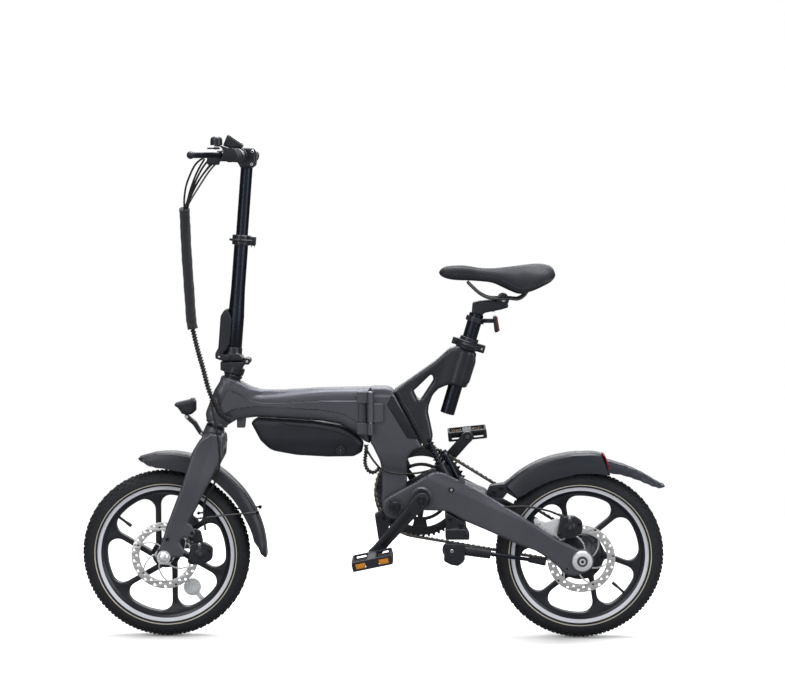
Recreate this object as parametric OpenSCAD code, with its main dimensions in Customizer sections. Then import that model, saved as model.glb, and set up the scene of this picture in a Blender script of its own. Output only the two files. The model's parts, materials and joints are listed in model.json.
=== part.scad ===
// Folding electric bicycle. Front wheel towards -X, left side towards -Y, wheels stand on z = 0.

/* [Wheels] */
// Outside diameter of both tyres
wheel_d = 400; // [380:1:480]
// Width of each tyre
tyre_w = 49; // [40:1:54]
// Radius where the tyre's bead meets the rim
bead_r = 160; // [150:1:165]
// Diameter of both brake rotors
rotor_d = 160; // [140:1:192]
// Number of spokes in each cast wheel
spokes = 6; // [5:1:8]

/* [Frame] */
// Height of the frame's top edge above the top of the tyres
deck_gap = 199; // [185:1:240]
// Distance from the frame hinge forward to the steering axis at the frame's top edge
front_reach = 335; // [325:1:400]
// Gap from the bottom bracket's centre to the front of the rear tyre
rear_gap = 176; // [172:1:215]
// Width of the frame castings at the hinge
frame_w = 78; // [70:1:84]
// Width of the frame at the head
head_w = 54; // [52:1:64]
// Lean of the steering axis from upright, in degrees
head_tilt = 19.1; // [17:0.1:21]
// Distance of the front axle ahead of the steering axis
rake = 13; // [8:1:30]
// Radius of the fork's steerer tube
steerer_r = 14.3; // [12.7:0.1:15.5]
// Radius of the frame hinge's pin
hinge_pin_r = 4; // [3:0.1:5]

/* [Handlebar post] */
// Length of the lower post above its fold
post_len = 280; // [240:1:336]
// Radius of the telescoping upper post
upper_post_r = 14; // [11.7:0.1:15]
// Lean of the post from upright, in degrees
post_tilt = 4.5; // [3:0.1:6]
// Bare length of the upper post between the collar and the handlebar
post_show = 182; // [152:1:230]
// Width across the ends of the handlebar
bar_w = 580; // [500:2:700]
// Radius of the handlebar tube
bar_r = 11.1; // [10:0.1:12.5]
// Length of each grip
grip_len = 125; // [105:1:135]

/* [Seat] */
// Radius of the seatpost
seatpost_r = 17; // [14:0.1:18]
// Lean of the seatpost from upright, in degrees
seat_tilt = 16.3; // [15:0.1:18]
// Bare length of the seatpost above its collar
seat_show = 54; // [48:1:100]
// Length of the saddle
saddle_len = 274; // [250:1:300]
// Width of the saddle's rear
saddle_w = 160; // [140:1:200]

/* [Drive] */
// Teeth on the chainring
ring_teeth = 54; // [46:1:56]
// Teeth on the rear cog
cog_teeth = 16; // [14:1:18]
// Length of each crank between its axles
crank_len = 170; // [150:1:175]
// Width of each pedal
pedal_w = 92; // [80:1:105]

/* [Kickstand] */
// Length of the kickstand from its pivot to the end of its foot
stand_len = 228; // [220:1:245]

/* [Hidden] */
$fn = 64;
fit = 0.05;        // running clearance of a shaft in its bore
gap = 0.4;         // clearance between pieces that only pass each other
sink = 0.1;         // depth the chain's straight runs start inside its wheels
wheel_r = wheel_d / 2;
rotor_r = rotor_d / 2;
hinge = [-8, wheel_d + deck_gap];              // [x, z] of the frame's seam at its top edge
deck = hinge.y;
head = [hinge.x - front_reach, deck];          // steering axis where it meets the top edge
function steer(z) = [head.x + (z - deck) * tan(head_tilt), z];
front_axle = [steer(wheel_r).x - rake / cos(head_tilt), wheel_r];
bb = hinge + [119, -258];                      // bottom bracket
pivot = hinge + [56, -280];                    // swingarm pivot
rear_axle = [bb.x + wheel_r + rear_gap, wheel_r];
hinge_y = -frame_w / 2 - 8.4;                    // side of the vertical fold axis
half_w = frame_w / 2;
head_top = deck + 24;
head_bottom = deck - 94;

fold_pin = head + [44, 61];                    // fold of the handlebar post
post_foot = head + [9, 61];                    // post axis where it leaves the fold
lower_post_r = upper_post_r + 4.5;
function post(l) = [post_foot.x + l * sin(post_tilt), post_foot.y + l * cos(post_tilt)];
collar_h = 20;
bar_at = post(post_len + collar_h + post_show) + [-13, 2];

seat_foot = hinge + [180.2, -63.3];            // lower end of the seatpost
function seat(l) = [seat_foot.x + l * sin(seat_tilt), seat_foot.y + l * cos(seat_tilt)];
seat_tube_from = 70;                           // along the seatpost, the mast's tube starts
seat_tube_to = 180;
seat_collar_h = 20;
seat_top = seat_tube_to + 8 + seat_show;       // along the seatpost, where its head starts
saddle_at = seat(seat_top) + [63, 39];         // middle of the saddle clamp

chain_y = 45;
pitch = 12.7;
function pitch_r(t) = pitch / 2 / sin(180 / t);
ring_r = pitch_r(ring_teeth);
cog_r = pitch_r(cog_teeth);
crank_in = 74;                                 // inner face of a crank at its pedal
crank_t = 14;
crank_dir = [-0.656, -0.755];                  // left crank points down and forward
left_pedal_at = bb + crank_len * crank_dir;
right_pedal_at = bb - crank_len * crank_dir;
rotor_t = 2;
front_rotor_y = -35;
rear_rotor_y = -58;
dropout_y = [-82, -66, 54, 66];                // faces of the swingarm's ends

shock_low = hinge + [190, -238];
shock_high = hinge + [130, -118];
shock_v = (shock_high - shock_low) / norm(shock_high - shock_low);
shock_len = norm(shock_high - shock_low);
shock_tilt = -atan2(shock_low.x - shock_high.x, shock_high.y - shock_low.y);

stand_at = [bb.x + 67, bb.y - 117];
stand_y = -58;
stand_axis = [0, 0.936, -0.352];
stand_fold = 82;                               // degrees from down to folded

// Routes of the cables, by hand: each point is [x, y, z].
bar_route = [
    [-385, -118, 1138], [-408, -100, 1120], [-430, -70, 1080], [-441, -35, 1045], [-444, -12, 1018],
    [-444, 0, 985], [-442, 0, 930], [-439, 0, 875], [-435, 0, 810], [-432, 0, 760], [-428, -2, 735],
    [-416, -14, 690], [-401, -32, 645], [-388, -44, 600], [-375, -48, 568], [-362, -46, 542],
    [-348, -42, 528], [-335, -40, 523]];
throttle_route = [
    [-376, 118, 1136], [-400, 96, 1112], [-422, 64, 1078], [-434, 34, 1048], [-439, 16, 1022]];
fork_route = [
    [-381, -62, 575], [-374, -66, 540], [-366, -68, 500], [-361, -66, 455], [-362, -62, 415],
    [-376, -54, 372], [-396, -48, 335], [-401, -44, 300], [-399, -42, 272], [-398, -40, 262]];
loop_route = [
    [-18, -30, 464], [-19, -33, 446], [-21, -36, 425], [-16, -38, 408], [-5, -38, 400],
    [6, -36, 403], [13, -33, 412]];
rear_brake_route = [
    [-22, -32, 466], [-12, -36, 446], [2, -41, 426], [20, -41, 408], [48, -39, 399], [80, -39, 398],
    [108, -40, 401], [128, -42, 406]];
caliper_route = [
    [300, -61.5, 322], [325, -66, 324], [355, -72, 326], [385, -78, 322], [410, -76, 316],
    [428, -68, 308]];

frame_grey = "#55575c";
satin_black = "#1c1d20";

// An outline drawn in [x, z], as a plate of thickness t about y.
module side(t, y = 0)
    translate([0, y, 0]) rotate([90, 0, 0]) linear_extrude(t, center = true) children();

// A round bar along Y at p = [x, z], from y0 to y1.
module bar_y(p, r, y0, y1)
    translate([p.x, y0, p.y]) rotate([-90, 0, 0]) cylinder(r = r, h = y1 - y0);

// Children stand on p = [x, z], their +Z leaning rearwards by tilt.
module lean(p, tilt, y = 0)
    translate([p.x, y, p.y]) rotate([0, tilt, 0]) children();

// Children drawn in the wheel's plane, their +Z towards the left side.
module at_wheel(p, y = 0)
    translate([p.x, y, p.y]) rotate([90, 0, 0]) children();

function from(p, pts) = [for (q = pts) p + q];

// A tube of radius r swept along pts, with n sides.
function unit(v) = v / norm(v);
function tangent(p, i) = unit(p[min(i + 1, len(p) - 1)] - p[max(i - 1, 0)]);
function carried(v, t) = unit(v - (v * t) * t);
function frames(p, i, v) =
    i == len(p) ? [] :
    let (t = tangent(p, i), u = carried(v, t)) concat([[u, cross(t, u)]], frames(p, i + 1, u));
module swept(p, r, n = 8) {
    f = frames(p, 0, [0.31, 0.95, 0.05]);
    rings = [for (i = [0:len(p) - 1]) for (k = [0:n - 1])
        p[i] + r * (cos(360 * k / n) * f[i][0] + sin(360 * k / n) * f[i][1])];
    skin = [for (i = [0:len(p) - 2]) for (k = [0:n - 1])
        [i * n + k, i * n + (k + 1) % n, (i + 1) * n + (k + 1) % n, (i + 1) * n + k]];
    last = (len(p) - 1) * n;
    ends = [[for (k = [n - 1:-1:0]) k], [for (k = [0:n - 1]) last + k]];
    polyhedron(rings, [for (s = concat(skin, ends)) [for (k = [len(s) - 1:-1:0]) s[k]]]);
}

// Points between the route's own, on a Catmull-Rom curve.
function between(a, b, c, d, t) =
    0.5 * (2 * b + (c - a) * t + (2 * a - 5 * b + 4 * c - d) * t * t
        + (3 * b - a - 3 * c + d) * t * t * t);
function smooth(p, n) = concat(
    [for (i = [0:len(p) - 2]) for (k = [0:n - 1])
        between(p[max(i - 1, 0)], p[i], p[i + 1], p[min(i + 2, len(p) - 1)], k / n)],
    [p[len(p) - 1]]);

// ---- rear half of the frame ----

module rear_frame_outline() {
    polygon(from(hinge, [
        [gap / 2, -1], [46, 0], [54, -8], [126, -143], [112, -145], [99, -150], [89, -162],
        [85, -178], [85, -202], [88, -280], [26, -280], [27, -202], [22, -173], [gap / 2, -135]]));
    translate(pivot) circle(r = 31);
}
pad_outline = from(hinge, [[38, -39], [50, -14], [113, -121], [86, -118]]);

module rear_frame() color(frame_grey) difference() {
    union() {
        intersection() {
            side(frame_w) rear_frame_outline();
            union() {
                translate([hinge.x, -half_w, deck - 190]) cube([130, frame_w, 200]);
                translate([hinge.x, -30, deck - 330]) cube([130, 60, 150]);
            }
        }
        translate([hinge.x + gap, hinge_y + 1, deck - 80]) cube([30, 8, 45]);
        translate([hinge.x, hinge_y, deck - 80]) cylinder(r = 8, h = 45);
    }
    translate([hinge.x, hinge_y, deck - 200]) cylinder(r = hinge_pin_r + fit, h = 200);
    bar_y(pivot, 8 + fit, -40, 40);
    for (s = [-1, 1])
        side(4, s * (half_w - 2)) polygon(pad_outline);
    side(frame_w - 12) polygon(from(hinge, [
        [-1, -12], [40, -12], [48, -20], [112, -138], [90, -140], [72, -170], [70, -235],
        [38, -235], [36, -170], [10, -125], [-1, -122]]));
}

module seat_mast() color(satin_black) difference() {
    union() {
        side(44) polygon(from(hinge, [
            [54.2, -8], [154, 63], [193, 98], [236, 80], [228, 30], [170, 6], [151, -12], [139, -32],
            [134, -55], [139, -82], [146, -122], [131, -131], [126.2, -143]]));
        lean(seat(seat_tube_from), seat_tilt)
            cylinder(r = seatpost_r + 10, h = seat_tube_to - seat_tube_from - 22);
        lean(seat(seat_tube_to - 22), seat_tilt) cylinder(r = seatpost_r + 5, h = 30);
        for (s = [-1, 1])
            side(3.6, s * (half_w - 2.2)) polygon(pad_outline);
        side(half_w * 2 - 7) polygon(from(hinge, [[54.2, -8], [66, 0], [138, -135], [126.2, -143]]));
    }
    side(60) polygon(from(hinge, [[101, -4], [146, 34], [150, 18], [116, -31], [108, -26]]));
    lean(seat(-20), seat_tilt) cylinder(r = seatpost_r + fit, h = 400);
    // a pocket for the shock's upper end
    side(24) polygon(from(shock_high, [
        [-16, 12], [12, 14], [34, -30], [0, -44], [-18, -16]]));
    bar_y(shock_high, 4 + fit, -30, 30);
}

module frame_pins() color("#8c8f94") {
    translate([hinge.x, hinge_y, deck - 109]) cylinder(r = hinge_pin_r, h = 103);
    bar_y(pivot, 8, -52, 39.5);
    bar_y(pivot, 13, -55, -49.5);
    bar_y(shock_high, 4, -22, 22);
}

module parking_foot() color(satin_black) {
    side(30) polygon(from(pivot, [[-47, -25], [-30, -14], [-25, -20], [-8, -31], [-14, -56], [-26, -88], [-38, -86]]));
}

module seat_collar() color(satin_black) lean(seat(seat_tube_to - 20), seat_tilt) difference() {
    union() {
        cylinder(r = seatpost_r + 10, h = seat_collar_h);
        translate([seatpost_r + 6, -9, 0]) cube([19, 18, seat_collar_h]);
        translate([-seatpost_r - 21, -7, 2]) cube([14, 14, seat_collar_h - 2]);
    }
    translate([0, 0, -1]) cylinder(r = seatpost_r + 5 + fit, h = 60);
    translate([seatpost_r + 15, 0, -1]) cylinder(r = 3 + fit, h = 60);
    translate([seatpost_r, -1, -1]) cube([30, 2, 60]);
    translate([seatpost_r + 8, -10, 7]) cube([30, 20, 7]);
}

module seat_lever() color(satin_black) lean(seat(seat_tube_to - 20), seat_tilt) {
    difference() {
        union() {
            translate([seatpost_r + 15, 0, 7.4]) cylinder(r = 6.5, h = 6.2);
            translate([seatpost_r + 13, -30, 7.4]) cube([7, 26, 6.2]);
            rotate([0, 0, 235]) rotate_extrude(angle = 70)
                translate([seatpost_r + 13, 7.4]) square([6, 6.2]);
        }
        translate([0, 0, -1]) cylinder(r = seatpost_r + 11, h = 60);
    }
    translate([seatpost_r + 15, 0, -2]) cylinder(r = 3, h = 26);
}

// ---- front half of the frame ----

module front_frame_outline() {
    polygon(concat(
        from(hinge, [[-gap / 2, -1], [-119, -2]]),
        from(head, [[81, -7], [55, -1], [26, 18], [-20, 26], [-36, -8], [-60, -69],
            [-50, -90], [-11, -97], [22, -76], [65, -71]]),
        from(hinge, [[-119, -79], [-73, -86], [-37, -106], [-12, -128],
            [-gap / 2, -134]])));
}

module front_frame() color(frame_grey) difference() {
    union() {
        intersection() {
            side(frame_w) front_frame_outline();
            translate([0, 0, deck - 200]) linear_extrude(300) polygon([
                [head.x - 70, -head_w / 2], [head.x + 60, -head_w / 2], [hinge.x - 90, -half_w],
                [hinge.x, -half_w], [hinge.x, half_w], [hinge.x - 90, half_w],
                [head.x + 60, head_w / 2], [head.x - 70, head_w / 2]]);
        }
        lean(steer(head_bottom), head_tilt)
            cylinder(r = head_w / 2, h = (head_top - head_bottom) / cos(head_tilt));
        translate([hinge.x - 30, hinge_y + 1, deck - 108]) cube([30, 8, 28 - gap]);
        translate([hinge.x - 30, hinge_y + 1, deck - 35 + gap]) cube([30, 8, 28 - gap]);
        translate([hinge.x, hinge_y, deck - 108]) cylinder(r = 8, h = 28 - gap);
        translate([hinge.x, hinge_y, deck - 35 + gap]) cylinder(r = 8, h = 28 - gap);
        side(16) polygon(from(head, [[17, -99], [17, -72], [41, -72], [38, -99]]));
    }
    translate([hinge.x, hinge_y, deck - 200]) cylinder(r = hinge_pin_r + fit, h = 200);
    lean(steer(head_bottom), head_tilt) translate([0, 0, -60]) cylinder(r = steerer_r + 6, h = 240);
    lean(steer(head_top), head_tilt) cylinder(r = 60, h = 60);
    lean(steer(head_bottom), head_tilt) translate([0, 0, -60]) cylinder(r = 60, h = 60);
    side(head_w - 12) polygon(concat(
        from(hinge, [[1, -12], [-119, -14]]),
        from(head, [[90, -22], [62, -30], [68, -58]]),
        from(hinge, [[-119, -66], [-66, -74], [-30, -98], [1, -120]])));
}

module headset() color(satin_black) {
    h = (head_top - head_bottom) / cos(head_tilt);
    lean(steer(head_bottom), head_tilt) for (s = [0, 1]) difference() {
        union() {
            translate([0, 0, s * (h - 20)]) cylinder(r = steerer_r + 6 - fit, h = 20);
            translate([0, 0, s * (h + 6) - 6]) cylinder(r = steerer_r + 9, h = 6);
        }
        translate([0, 0, -20]) cylinder(r = steerer_r + fit, h = h + 60);
    }
}

module frame_latch() color(satin_black) difference() {
    union() {
        translate([hinge.x - 62, half_w + gap, deck - 68]) cube([104, 11, 26]);
        translate([hinge.x - 62, half_w + 7 + gap, deck - 68]) cylinder(r = 7, h = 26);
        translate([hinge.x + 42, half_w + gap, deck - 63]) cube([16, 8, 16]);
    }
    translate([hinge.x - 50, half_w + 6, deck - 60]) cube([80, 11, 10]);
}

module battery() color(satin_black) difference() {
    side(frame_w - 10) polygon(
        from(hinge, [[-279, -80], [-266, -74], [-137, -82], [-67, -93], [-31, -115], [-17, -134], [-18, -146],
            [-37, -159], [-102, -160], [-173, -155], [-231, -142], [-258, -118]]));
    bar_y(hinge + [-71, -148], 11, -half_w - 5, 8 - half_w);
}

// ---- fork and what turns with it ----

fork_blade = concat(
    from(head, [[-10, -131], [-12, -165], [-45, -235]]),
    from(front_axle, [[57, 80], [42, 35], [18, 2], [14, -10], [2, -17], [-11, -14], [-13, 5], [-8, 28],
        [11, 85], [44, 170]]),
    from(head, [[-84, -150], [-66, -122]]));

module fork() color(frame_grey) difference() {
    union() {
        lean(steer(head_bottom - 36), head_tilt) {
            cylinder(r = 23, h = (36 - 7) / cos(head_tilt));
            cylinder(r = steerer_r, h = (head_top - head_bottom + 36 + 22) / cos(head_tilt));
        }
        side(112) polygon(from(head, [[-66, -121], [-40, -104], [-14, -112], [-10, -131], [-15, -166], [-80, -150]]));
        for (s = [-1, 1])
            side(16, s * 50) polygon(fork_blade);
        side(6, -47) polygon(from(front_axle, [[40, 100], [58, 82], [78, 60], [72, 44], [44, 44], [20, 60]]));
    }
    bar_y(front_axle, 5 + fit, -70, 70);
}

module front_axle() color("#3a3b3e") {
    bar_y(front_axle, 5, -64, 64);
    bar_y(front_axle, 10, -65, -58.4);
    bar_y(front_axle, 10, 58.4, 65);
}

module fender_channel(r, skirt, half, from_a, to_a) difference() {
    rotate([0, 0, from_a]) rotate_extrude(angle = to_a - from_a)
        translate([skirt, -half]) square([r - skirt, 2 * half]);
    rotate([0, 0, from_a - 5]) rotate_extrude(angle = to_a - from_a + 10)
        translate([skirt - 10, 3 - half]) square([r - skirt + 7, 2 * half - 6]);
}

module front_fender() color(satin_black) {
    fender_r = wheel_r + 41;
    at_wheel(front_axle) fender_channel(fender_r, wheel_r + 8, 34, -2, 104);
    translate([head.x - 47, 0, front_axle.y + fender_r - 28]) cylinder(r = 6, h = deck - 161 - front_axle.y - fender_r + 25);
    for (s = [-1, 1]) {
        swept([
            [front_axle.x + 72, s * 38.5, front_axle.y + 88], [front_axle.x + 140, s * 38.5, front_axle.y + 96],
            [front_axle.x + 216, s * 38.5, front_axle.y + 103]], 2.3);
        bar_y(front_axle + [220, 104], 4, s > 0 ? 32 : -42, s > 0 ? 42 : -32);
    }
}

module front_caliper() color(satin_black) difference() {
    union() {
        translate([front_axle.x + 62, front_rotor_y - 17, front_axle.y - 22]) cube([44, 34, 56]);
        translate([front_axle.x + 66, -44, front_axle.y + 30]) cube([18, 8, 34]);
    }
    at_wheel(front_axle, front_rotor_y) cylinder(r = rotor_r + 3, h = rotor_t + 4, center = true);
}

lamp_at = head + [-101, -47];
lamp_pin = lamp_at + [0, -25];                 // the headlight tips about it
module light_bracket() color(satin_black) difference() {
    union() {
        side(16) polygon(from(head, [
            [-104, -75.5], [-98, -68], [-79, -84], [-66, -106], [-56, -112], [-62, -120], [-72, -114],
            [-86, -92]]));
        bar_y(lamp_pin, 5, -8, 8);
    }
    bar_y(lamp_pin, 9, -3 - gap, 3 + gap);
    bar_y(lamp_pin, 2.5 + fit, -20, 20);
}

module headlight() color("#222326") difference() {
    union() {
        side(6) polygon(from(lamp_pin, [[-4.5, -1], [-4.5, 10], [4.5, 10], [4.5, -1]]));
        bar_y(lamp_pin, 4.8, -3, 3);
        bar_y(lamp_pin, 2.5, -10, 10);
        lean(lamp_at, 90) {
            translate([0, 0, -24]) cylinder(r = 19, h = 30);
            translate([0, 0, 6]) cylinder(r1 = 19, r2 = 10, h = 20);
        }
    }
    lean(lamp_at, 90) translate([0, 0, -40]) cylinder(r = 16, h = 18);
}

module tyre() rotate_extrude($fn = 96) difference() {
    intersection() {
        translate([wheel_r - tyre_w * 0.52, 0]) circle(r = tyre_w * 0.52);
        translate([bead_r - 3, -tyre_w / 2]) square([wheel_r, tyre_w]);
    }
    translate([wheel_r - tyre_w * 0.52, 0]) circle(r = tyre_w * 0.52 - 6);
    translate([bead_r - 13, -9]) square([26, 18]);
}

module cast_rim(hub_r, turn) {
    rotate_extrude($fn = 96) polygon([
        [bead_r - 17, -11], [bead_r - 11, -14], [bead_r - 4, -18], [bead_r - 3.4, -18],
        [bead_r - 3.4, 18], [bead_r - 4, 18], [bead_r - 11, 14], [bead_r - 17, 11]]);
    for (k = [0:spokes - 1])
        rotate([0, 0, turn + k * 360 / spokes])
            translate([hub_r - 8, 13, -9]) cube([bead_r - 9 - hub_r, 12, 18]);
}

module front_tyre() color("#202022") at_wheel(front_axle) tyre();

module front_rim() color(satin_black) at_wheel(front_axle) difference() {
    union() {
        cast_rim(34, 30);
        cylinder(r = 34, h = 34, center = true);
        cylinder(r = 24, h = 66, center = true);
    }
    cylinder(r = 5 + fit, h = 90, center = true);
}

module rotor(spider) difference() {
    cylinder(r = rotor_r, h = rotor_t, center = true);
    for (k = [0:5])
        rotate([0, 0, 60 * k + 30]) translate([rotor_r * 0.6, 0, 0]) cylinder(r = rotor_r * 0.17, h = 9, center = true);
    for (k = [0:17])
        rotate([0, 0, 20 * k]) translate([rotor_r - 8, 0, 0]) cylinder(r = 3, h = 9, center = true);
    cylinder(r = spider, h = 9, center = true);
}

module front_rotor() color("silver") at_wheel(front_axle, front_rotor_y) rotor(6);

module wheel_reflector() color("white") {
    at_wheel(front_axle, -7) rotate([0, 0, -52])
        translate([bead_r - 59, -2, 0]) {
            cylinder(r = 21, h = 6);
            translate([12, -6, 0]) cube([26, 12, 4]);
        }
}

// ---- handlebar post ----

module post_base() color(satin_black) {
    difference() {
        union() {
            lean(steer(head_top + 7), head_tilt) cylinder(r = 23, h = 18);
            side(44) polygon(from(head, [
                [-19, 33], [-19, 61 - gap], [36, 61 - gap], [40, 54], [33, 46], [21, 30], [-16, 30]]));
            for (s = [-1, 1])
                bar_y(fold_pin, 8, s > 0 ? 10 + gap : -22, s > 0 ? 22 : -10 - gap);
        }
        lean(steer(head_bottom), head_tilt) cylinder(r = steerer_r + fit, h = 300);
        bar_y(fold_pin, 8 + gap, -10 - gap, 10 + gap);
        bar_y(fold_pin, 3.5, -30, 30);
        lean(steer(head_top + 6), head_tilt) mirror([0, 0, 1]) cylinder(r = 60, h = 40);
    }
    bar_y(fold_pin, 3.5, -22, 22);
}

module handlepost() color(satin_black) difference() {
    union() {
        lean(post_foot, post_tilt) {
            translate([0, 0, 2]) cylinder(r = lower_post_r + 0.5, h = 110);
            translate([0, 0, 110]) cylinder(r1 = lower_post_r + 0.5, r2 = lower_post_r - 2, h = 60);
            translate([0, 0, 160]) cylinder(r = lower_post_r - 2, h = post_len - 160);
        }
        side(44) polygon(from(head, [[-17, 61 + gap], [-13, 72], [-6, 80], [24, 80], [34, 70], [36, 61 + gap]]));
        bar_y(fold_pin, 8, -10, 10);
        side(20) polygon(from(head, [[20, 63], [20, 74], [40, 68], [47, 62]]));
        for (s = [-1, 1])
            side(5, s * 26) polygon(from(head, [[-27, 68], [-27, 79], [-17, 80], [0, 74], [0, 63], [-17, 63]]));
        side(56) polygon(from(head, [[-8, 66], [-8, 78], [4, 76], [4, 66]]));
    }
    lean(post(60), post_tilt) cylinder(r = upper_post_r + fit, h = post_len);
    bar_y(fold_pin, 3.5 + fit, -30, 30);
    for (s = [-1, 1])
        bar_y(fold_pin, 8 + gap, s > 0 ? 10 : -24, s > 0 ? 24 : -10);
    bar_y(head + [-21, 73], 3 + fit, -40, 40);
    // the space that the latch's foot turns in
    bar_y(head + [-21, 73], 12.6, -23.3, 23.3);
}

module post_latch() color(satin_black) difference() {
    union() {
        side(46) polygon(from(head, [
            [-15, 66], [-10, 76], [4, 100], [10, 160], [-4, 186], [-18, 167], [-21, 127], [-24, 92],
            [-31, 80], [-31, 66]]));
        bar_y(head + [-21, 73], 3, -29, 29);
    }
    lean(post_foot, post_tilt) cylinder(r = lower_post_r + 1.2, h = 200);
    side(46.2) polygon(from(head, [[-18, 60], [-14, 73], [-6.4, 82], [-6.4, 90], [40, 90], [40, 60]]));
}

module post_collar() color(satin_black) lean(post(post_len - 6), post_tilt) difference() {
    union() {
        cylinder(r = upper_post_r + 8, h = collar_h + 4);
        translate([upper_post_r + 4, -9, 0]) cube([16, 18, collar_h + 2]);
    }
    translate([0, 0, -1]) cylinder(r = lower_post_r - 2 + fit, h = 7 + gap);
    cylinder(r = upper_post_r + fit, h = 60);
    translate([upper_post_r, -1.5, -1]) cube([30, 3, 60]);
    translate([upper_post_r + 14, 0, -1]) cylinder(r = 2.5 + fit, h = 60);
    translate([upper_post_r + 8, -10, 8]) cube([20, 20, 7]);
}

module post_lever() color(satin_black) lean(post(post_len - 6), post_tilt) {
    difference() {
        union() {
            translate([upper_post_r + 14, 0, 8.4]) cylinder(r = 5.5, h = 6.2);
            translate([upper_post_r + 11, -26, 8.4]) cube([6, 24, 6.2]);
            rotate([0, 0, 190]) rotate_extrude(angle = 122)
                translate([upper_post_r + 10, 8.4]) square([5, 6.2]);
        }
        cylinder(r = upper_post_r + 9, h = 60);
    }
    translate([upper_post_r + 14, 0, -2]) cylinder(r = 2.5, h = 30);
}

module upper_post() color(satin_black) difference() {
    union() {
        lean(post(post_len - 100), post_tilt) cylinder(r = upper_post_r, h = 100 + collar_h + post_show - 18);
        side(44) polygon(from(bar_at, [
            [-17, -9], [-17, 9], [-8, 18], [12, 19], [30, 18], [36, 8], [33, -22], [24, -30], [-2, -30], [-8, -18]]));
    }
    bar_y(bar_at, bar_r + fit, -40, 40);
    lean(post(post_len - 101), post_tilt) cylinder(r = upper_post_r - 2, h = 200);
}

module handlebar() color(satin_black) difference() {
    bar_y(bar_at, bar_r, -bar_w / 2 + 2, bar_w / 2 - 2);
    bar_y(bar_at, bar_r - 2, -bar_w / 2, bar_w / 2);
}

module grips() color("#161618") for (s = [-1, 1]) difference() {
    bar_y(bar_at, bar_r + 5, s > 0 ? bar_w / 2 - grip_len : -bar_w / 2, s > 0 ? bar_w / 2 : grip_len - bar_w / 2);
    bar_y(bar_at, bar_r, s > 0 ? 0 : 2 - bar_w / 2, s > 0 ? bar_w / 2 - 2 : 0);
}

module display() color("#141416") difference() {
    union() {
        side(46, -48) polygon(from(bar_at, [[-38, 22], [-27, 49], [8, 25], [4, 16], [-20, 16]]));
        bar_y(bar_at, bar_r + 5, -60, -38);
        side(14, -48) polygon(from(bar_at, [[-10, 10], [-10, 22], [2, 22], [2, 10]]));
    }
    bar_y(bar_at, bar_r, -80, -20);
}

perch_y = bar_w / 2 - grip_len - 27;
lever_at = bar_at + [-38, 0];
module control_pods() color(satin_black) {
    for (s = [-1, 1]) difference() {
        union() {
            bar_y(bar_at, bar_r + 5, s * perch_y - 11, s * perch_y + 11);
            translate([lever_at.x - 6, s * perch_y - 10, bar_at.y - 8]) cube([36, 20, 16]);
        }
        bar_y(bar_at, bar_r, s * perch_y - 20, s * perch_y + 20);
        translate([lever_at.x, s * perch_y, 0]) cylinder(r = 3 + fit, h = 2000);
        translate([lever_at.x - 12, s * perch_y - 11, bar_at.y - 4]) cube([23, 22, 8]);
    }
    difference() {
        union() {
            bar_y(bar_at, bar_r + 4, 26 - perch_y, 44 - perch_y);
            translate([bar_at.x - 70, 24 - perch_y, bar_at.y - 22]) cube([28, 22, 20]);
            translate([bar_at.x - 44, 26 - perch_y, bar_at.y - 14]) cube([34, 18, 10]);
        }
        bar_y(bar_at, bar_r, -400, 0);
    }
}

// Brake lever: s is -1 on the left, 1 on the right.
module brake_lever(s) difference() {
    union() {
        translate([lever_at.x, s * perch_y, bar_at.y - 3.6]) cylinder(r = 9, h = 7.2);
        translate([lever_at.x, s * perch_y, bar_at.y - 10]) cylinder(r = 3, h = 20);
        translate([0, 0, bar_at.y - 3.6]) linear_extrude(7.2) polygon([
            [lever_at.x - 6, s * (perch_y - 7)], [lever_at.x + 7, s * (perch_y + 6)],
            [lever_at.x - 30, s * (perch_y + 40)], [lever_at.x - 48, s * (perch_y + 100)],
            [lever_at.x - 60, s * (perch_y + 100)], [lever_at.x - 44, s * (perch_y + 30)]]);
        translate([lever_at.x - 54, s * (perch_y + 102), bar_at.y]) sphere(r = 9, $fn = 32);
    }
}
module left_brake_lever() color(satin_black) brake_lever(-1);
module right_brake_lever() color(satin_black) brake_lever(1);

bell_y = 54 - perch_y;
bell_at = bar_at + [-51, 31];
module bell() color("#2a2b2e") difference() {
    union() {
        bar_y(bar_at, bar_r + 3, bell_y - 5, bell_y + 5);
        side(10, bell_y) polygon(from(bar_at, [[-6, 11], [-38, 22], [-54, 26], [-54, 19.5], [-42, 19.5], [-42, 12], [-34, 10], [-11, 4]]));
        translate([bell_at.x, bell_y, bell_at.y - 8]) cylinder(r = 14, h = 19);
        translate([bell_at.x, bell_y, bell_at.y - 18]) cylinder(r = 5, h = 32);
    }
    bar_y(bar_at, bar_r, -400, 0);
    translate([bell_at.x, bell_y, bell_at.y - 9]) difference() {
        cylinder(r = 12, h = 17);
        cylinder(r = 5, h = 17);
    }
}

module bell_striker() color("#2a2b2e") difference() {
    translate([bell_at.x, bell_y, bell_at.y - 17]) union() {
        cylinder(r = 8, h = 4);
        translate([-21, -3, 0]) cube([16, 6, 4]);
    }
    translate([bell_at.x, bell_y, bell_at.y - 25]) cylinder(r = 5 + fit, h = 30);
}

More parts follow.
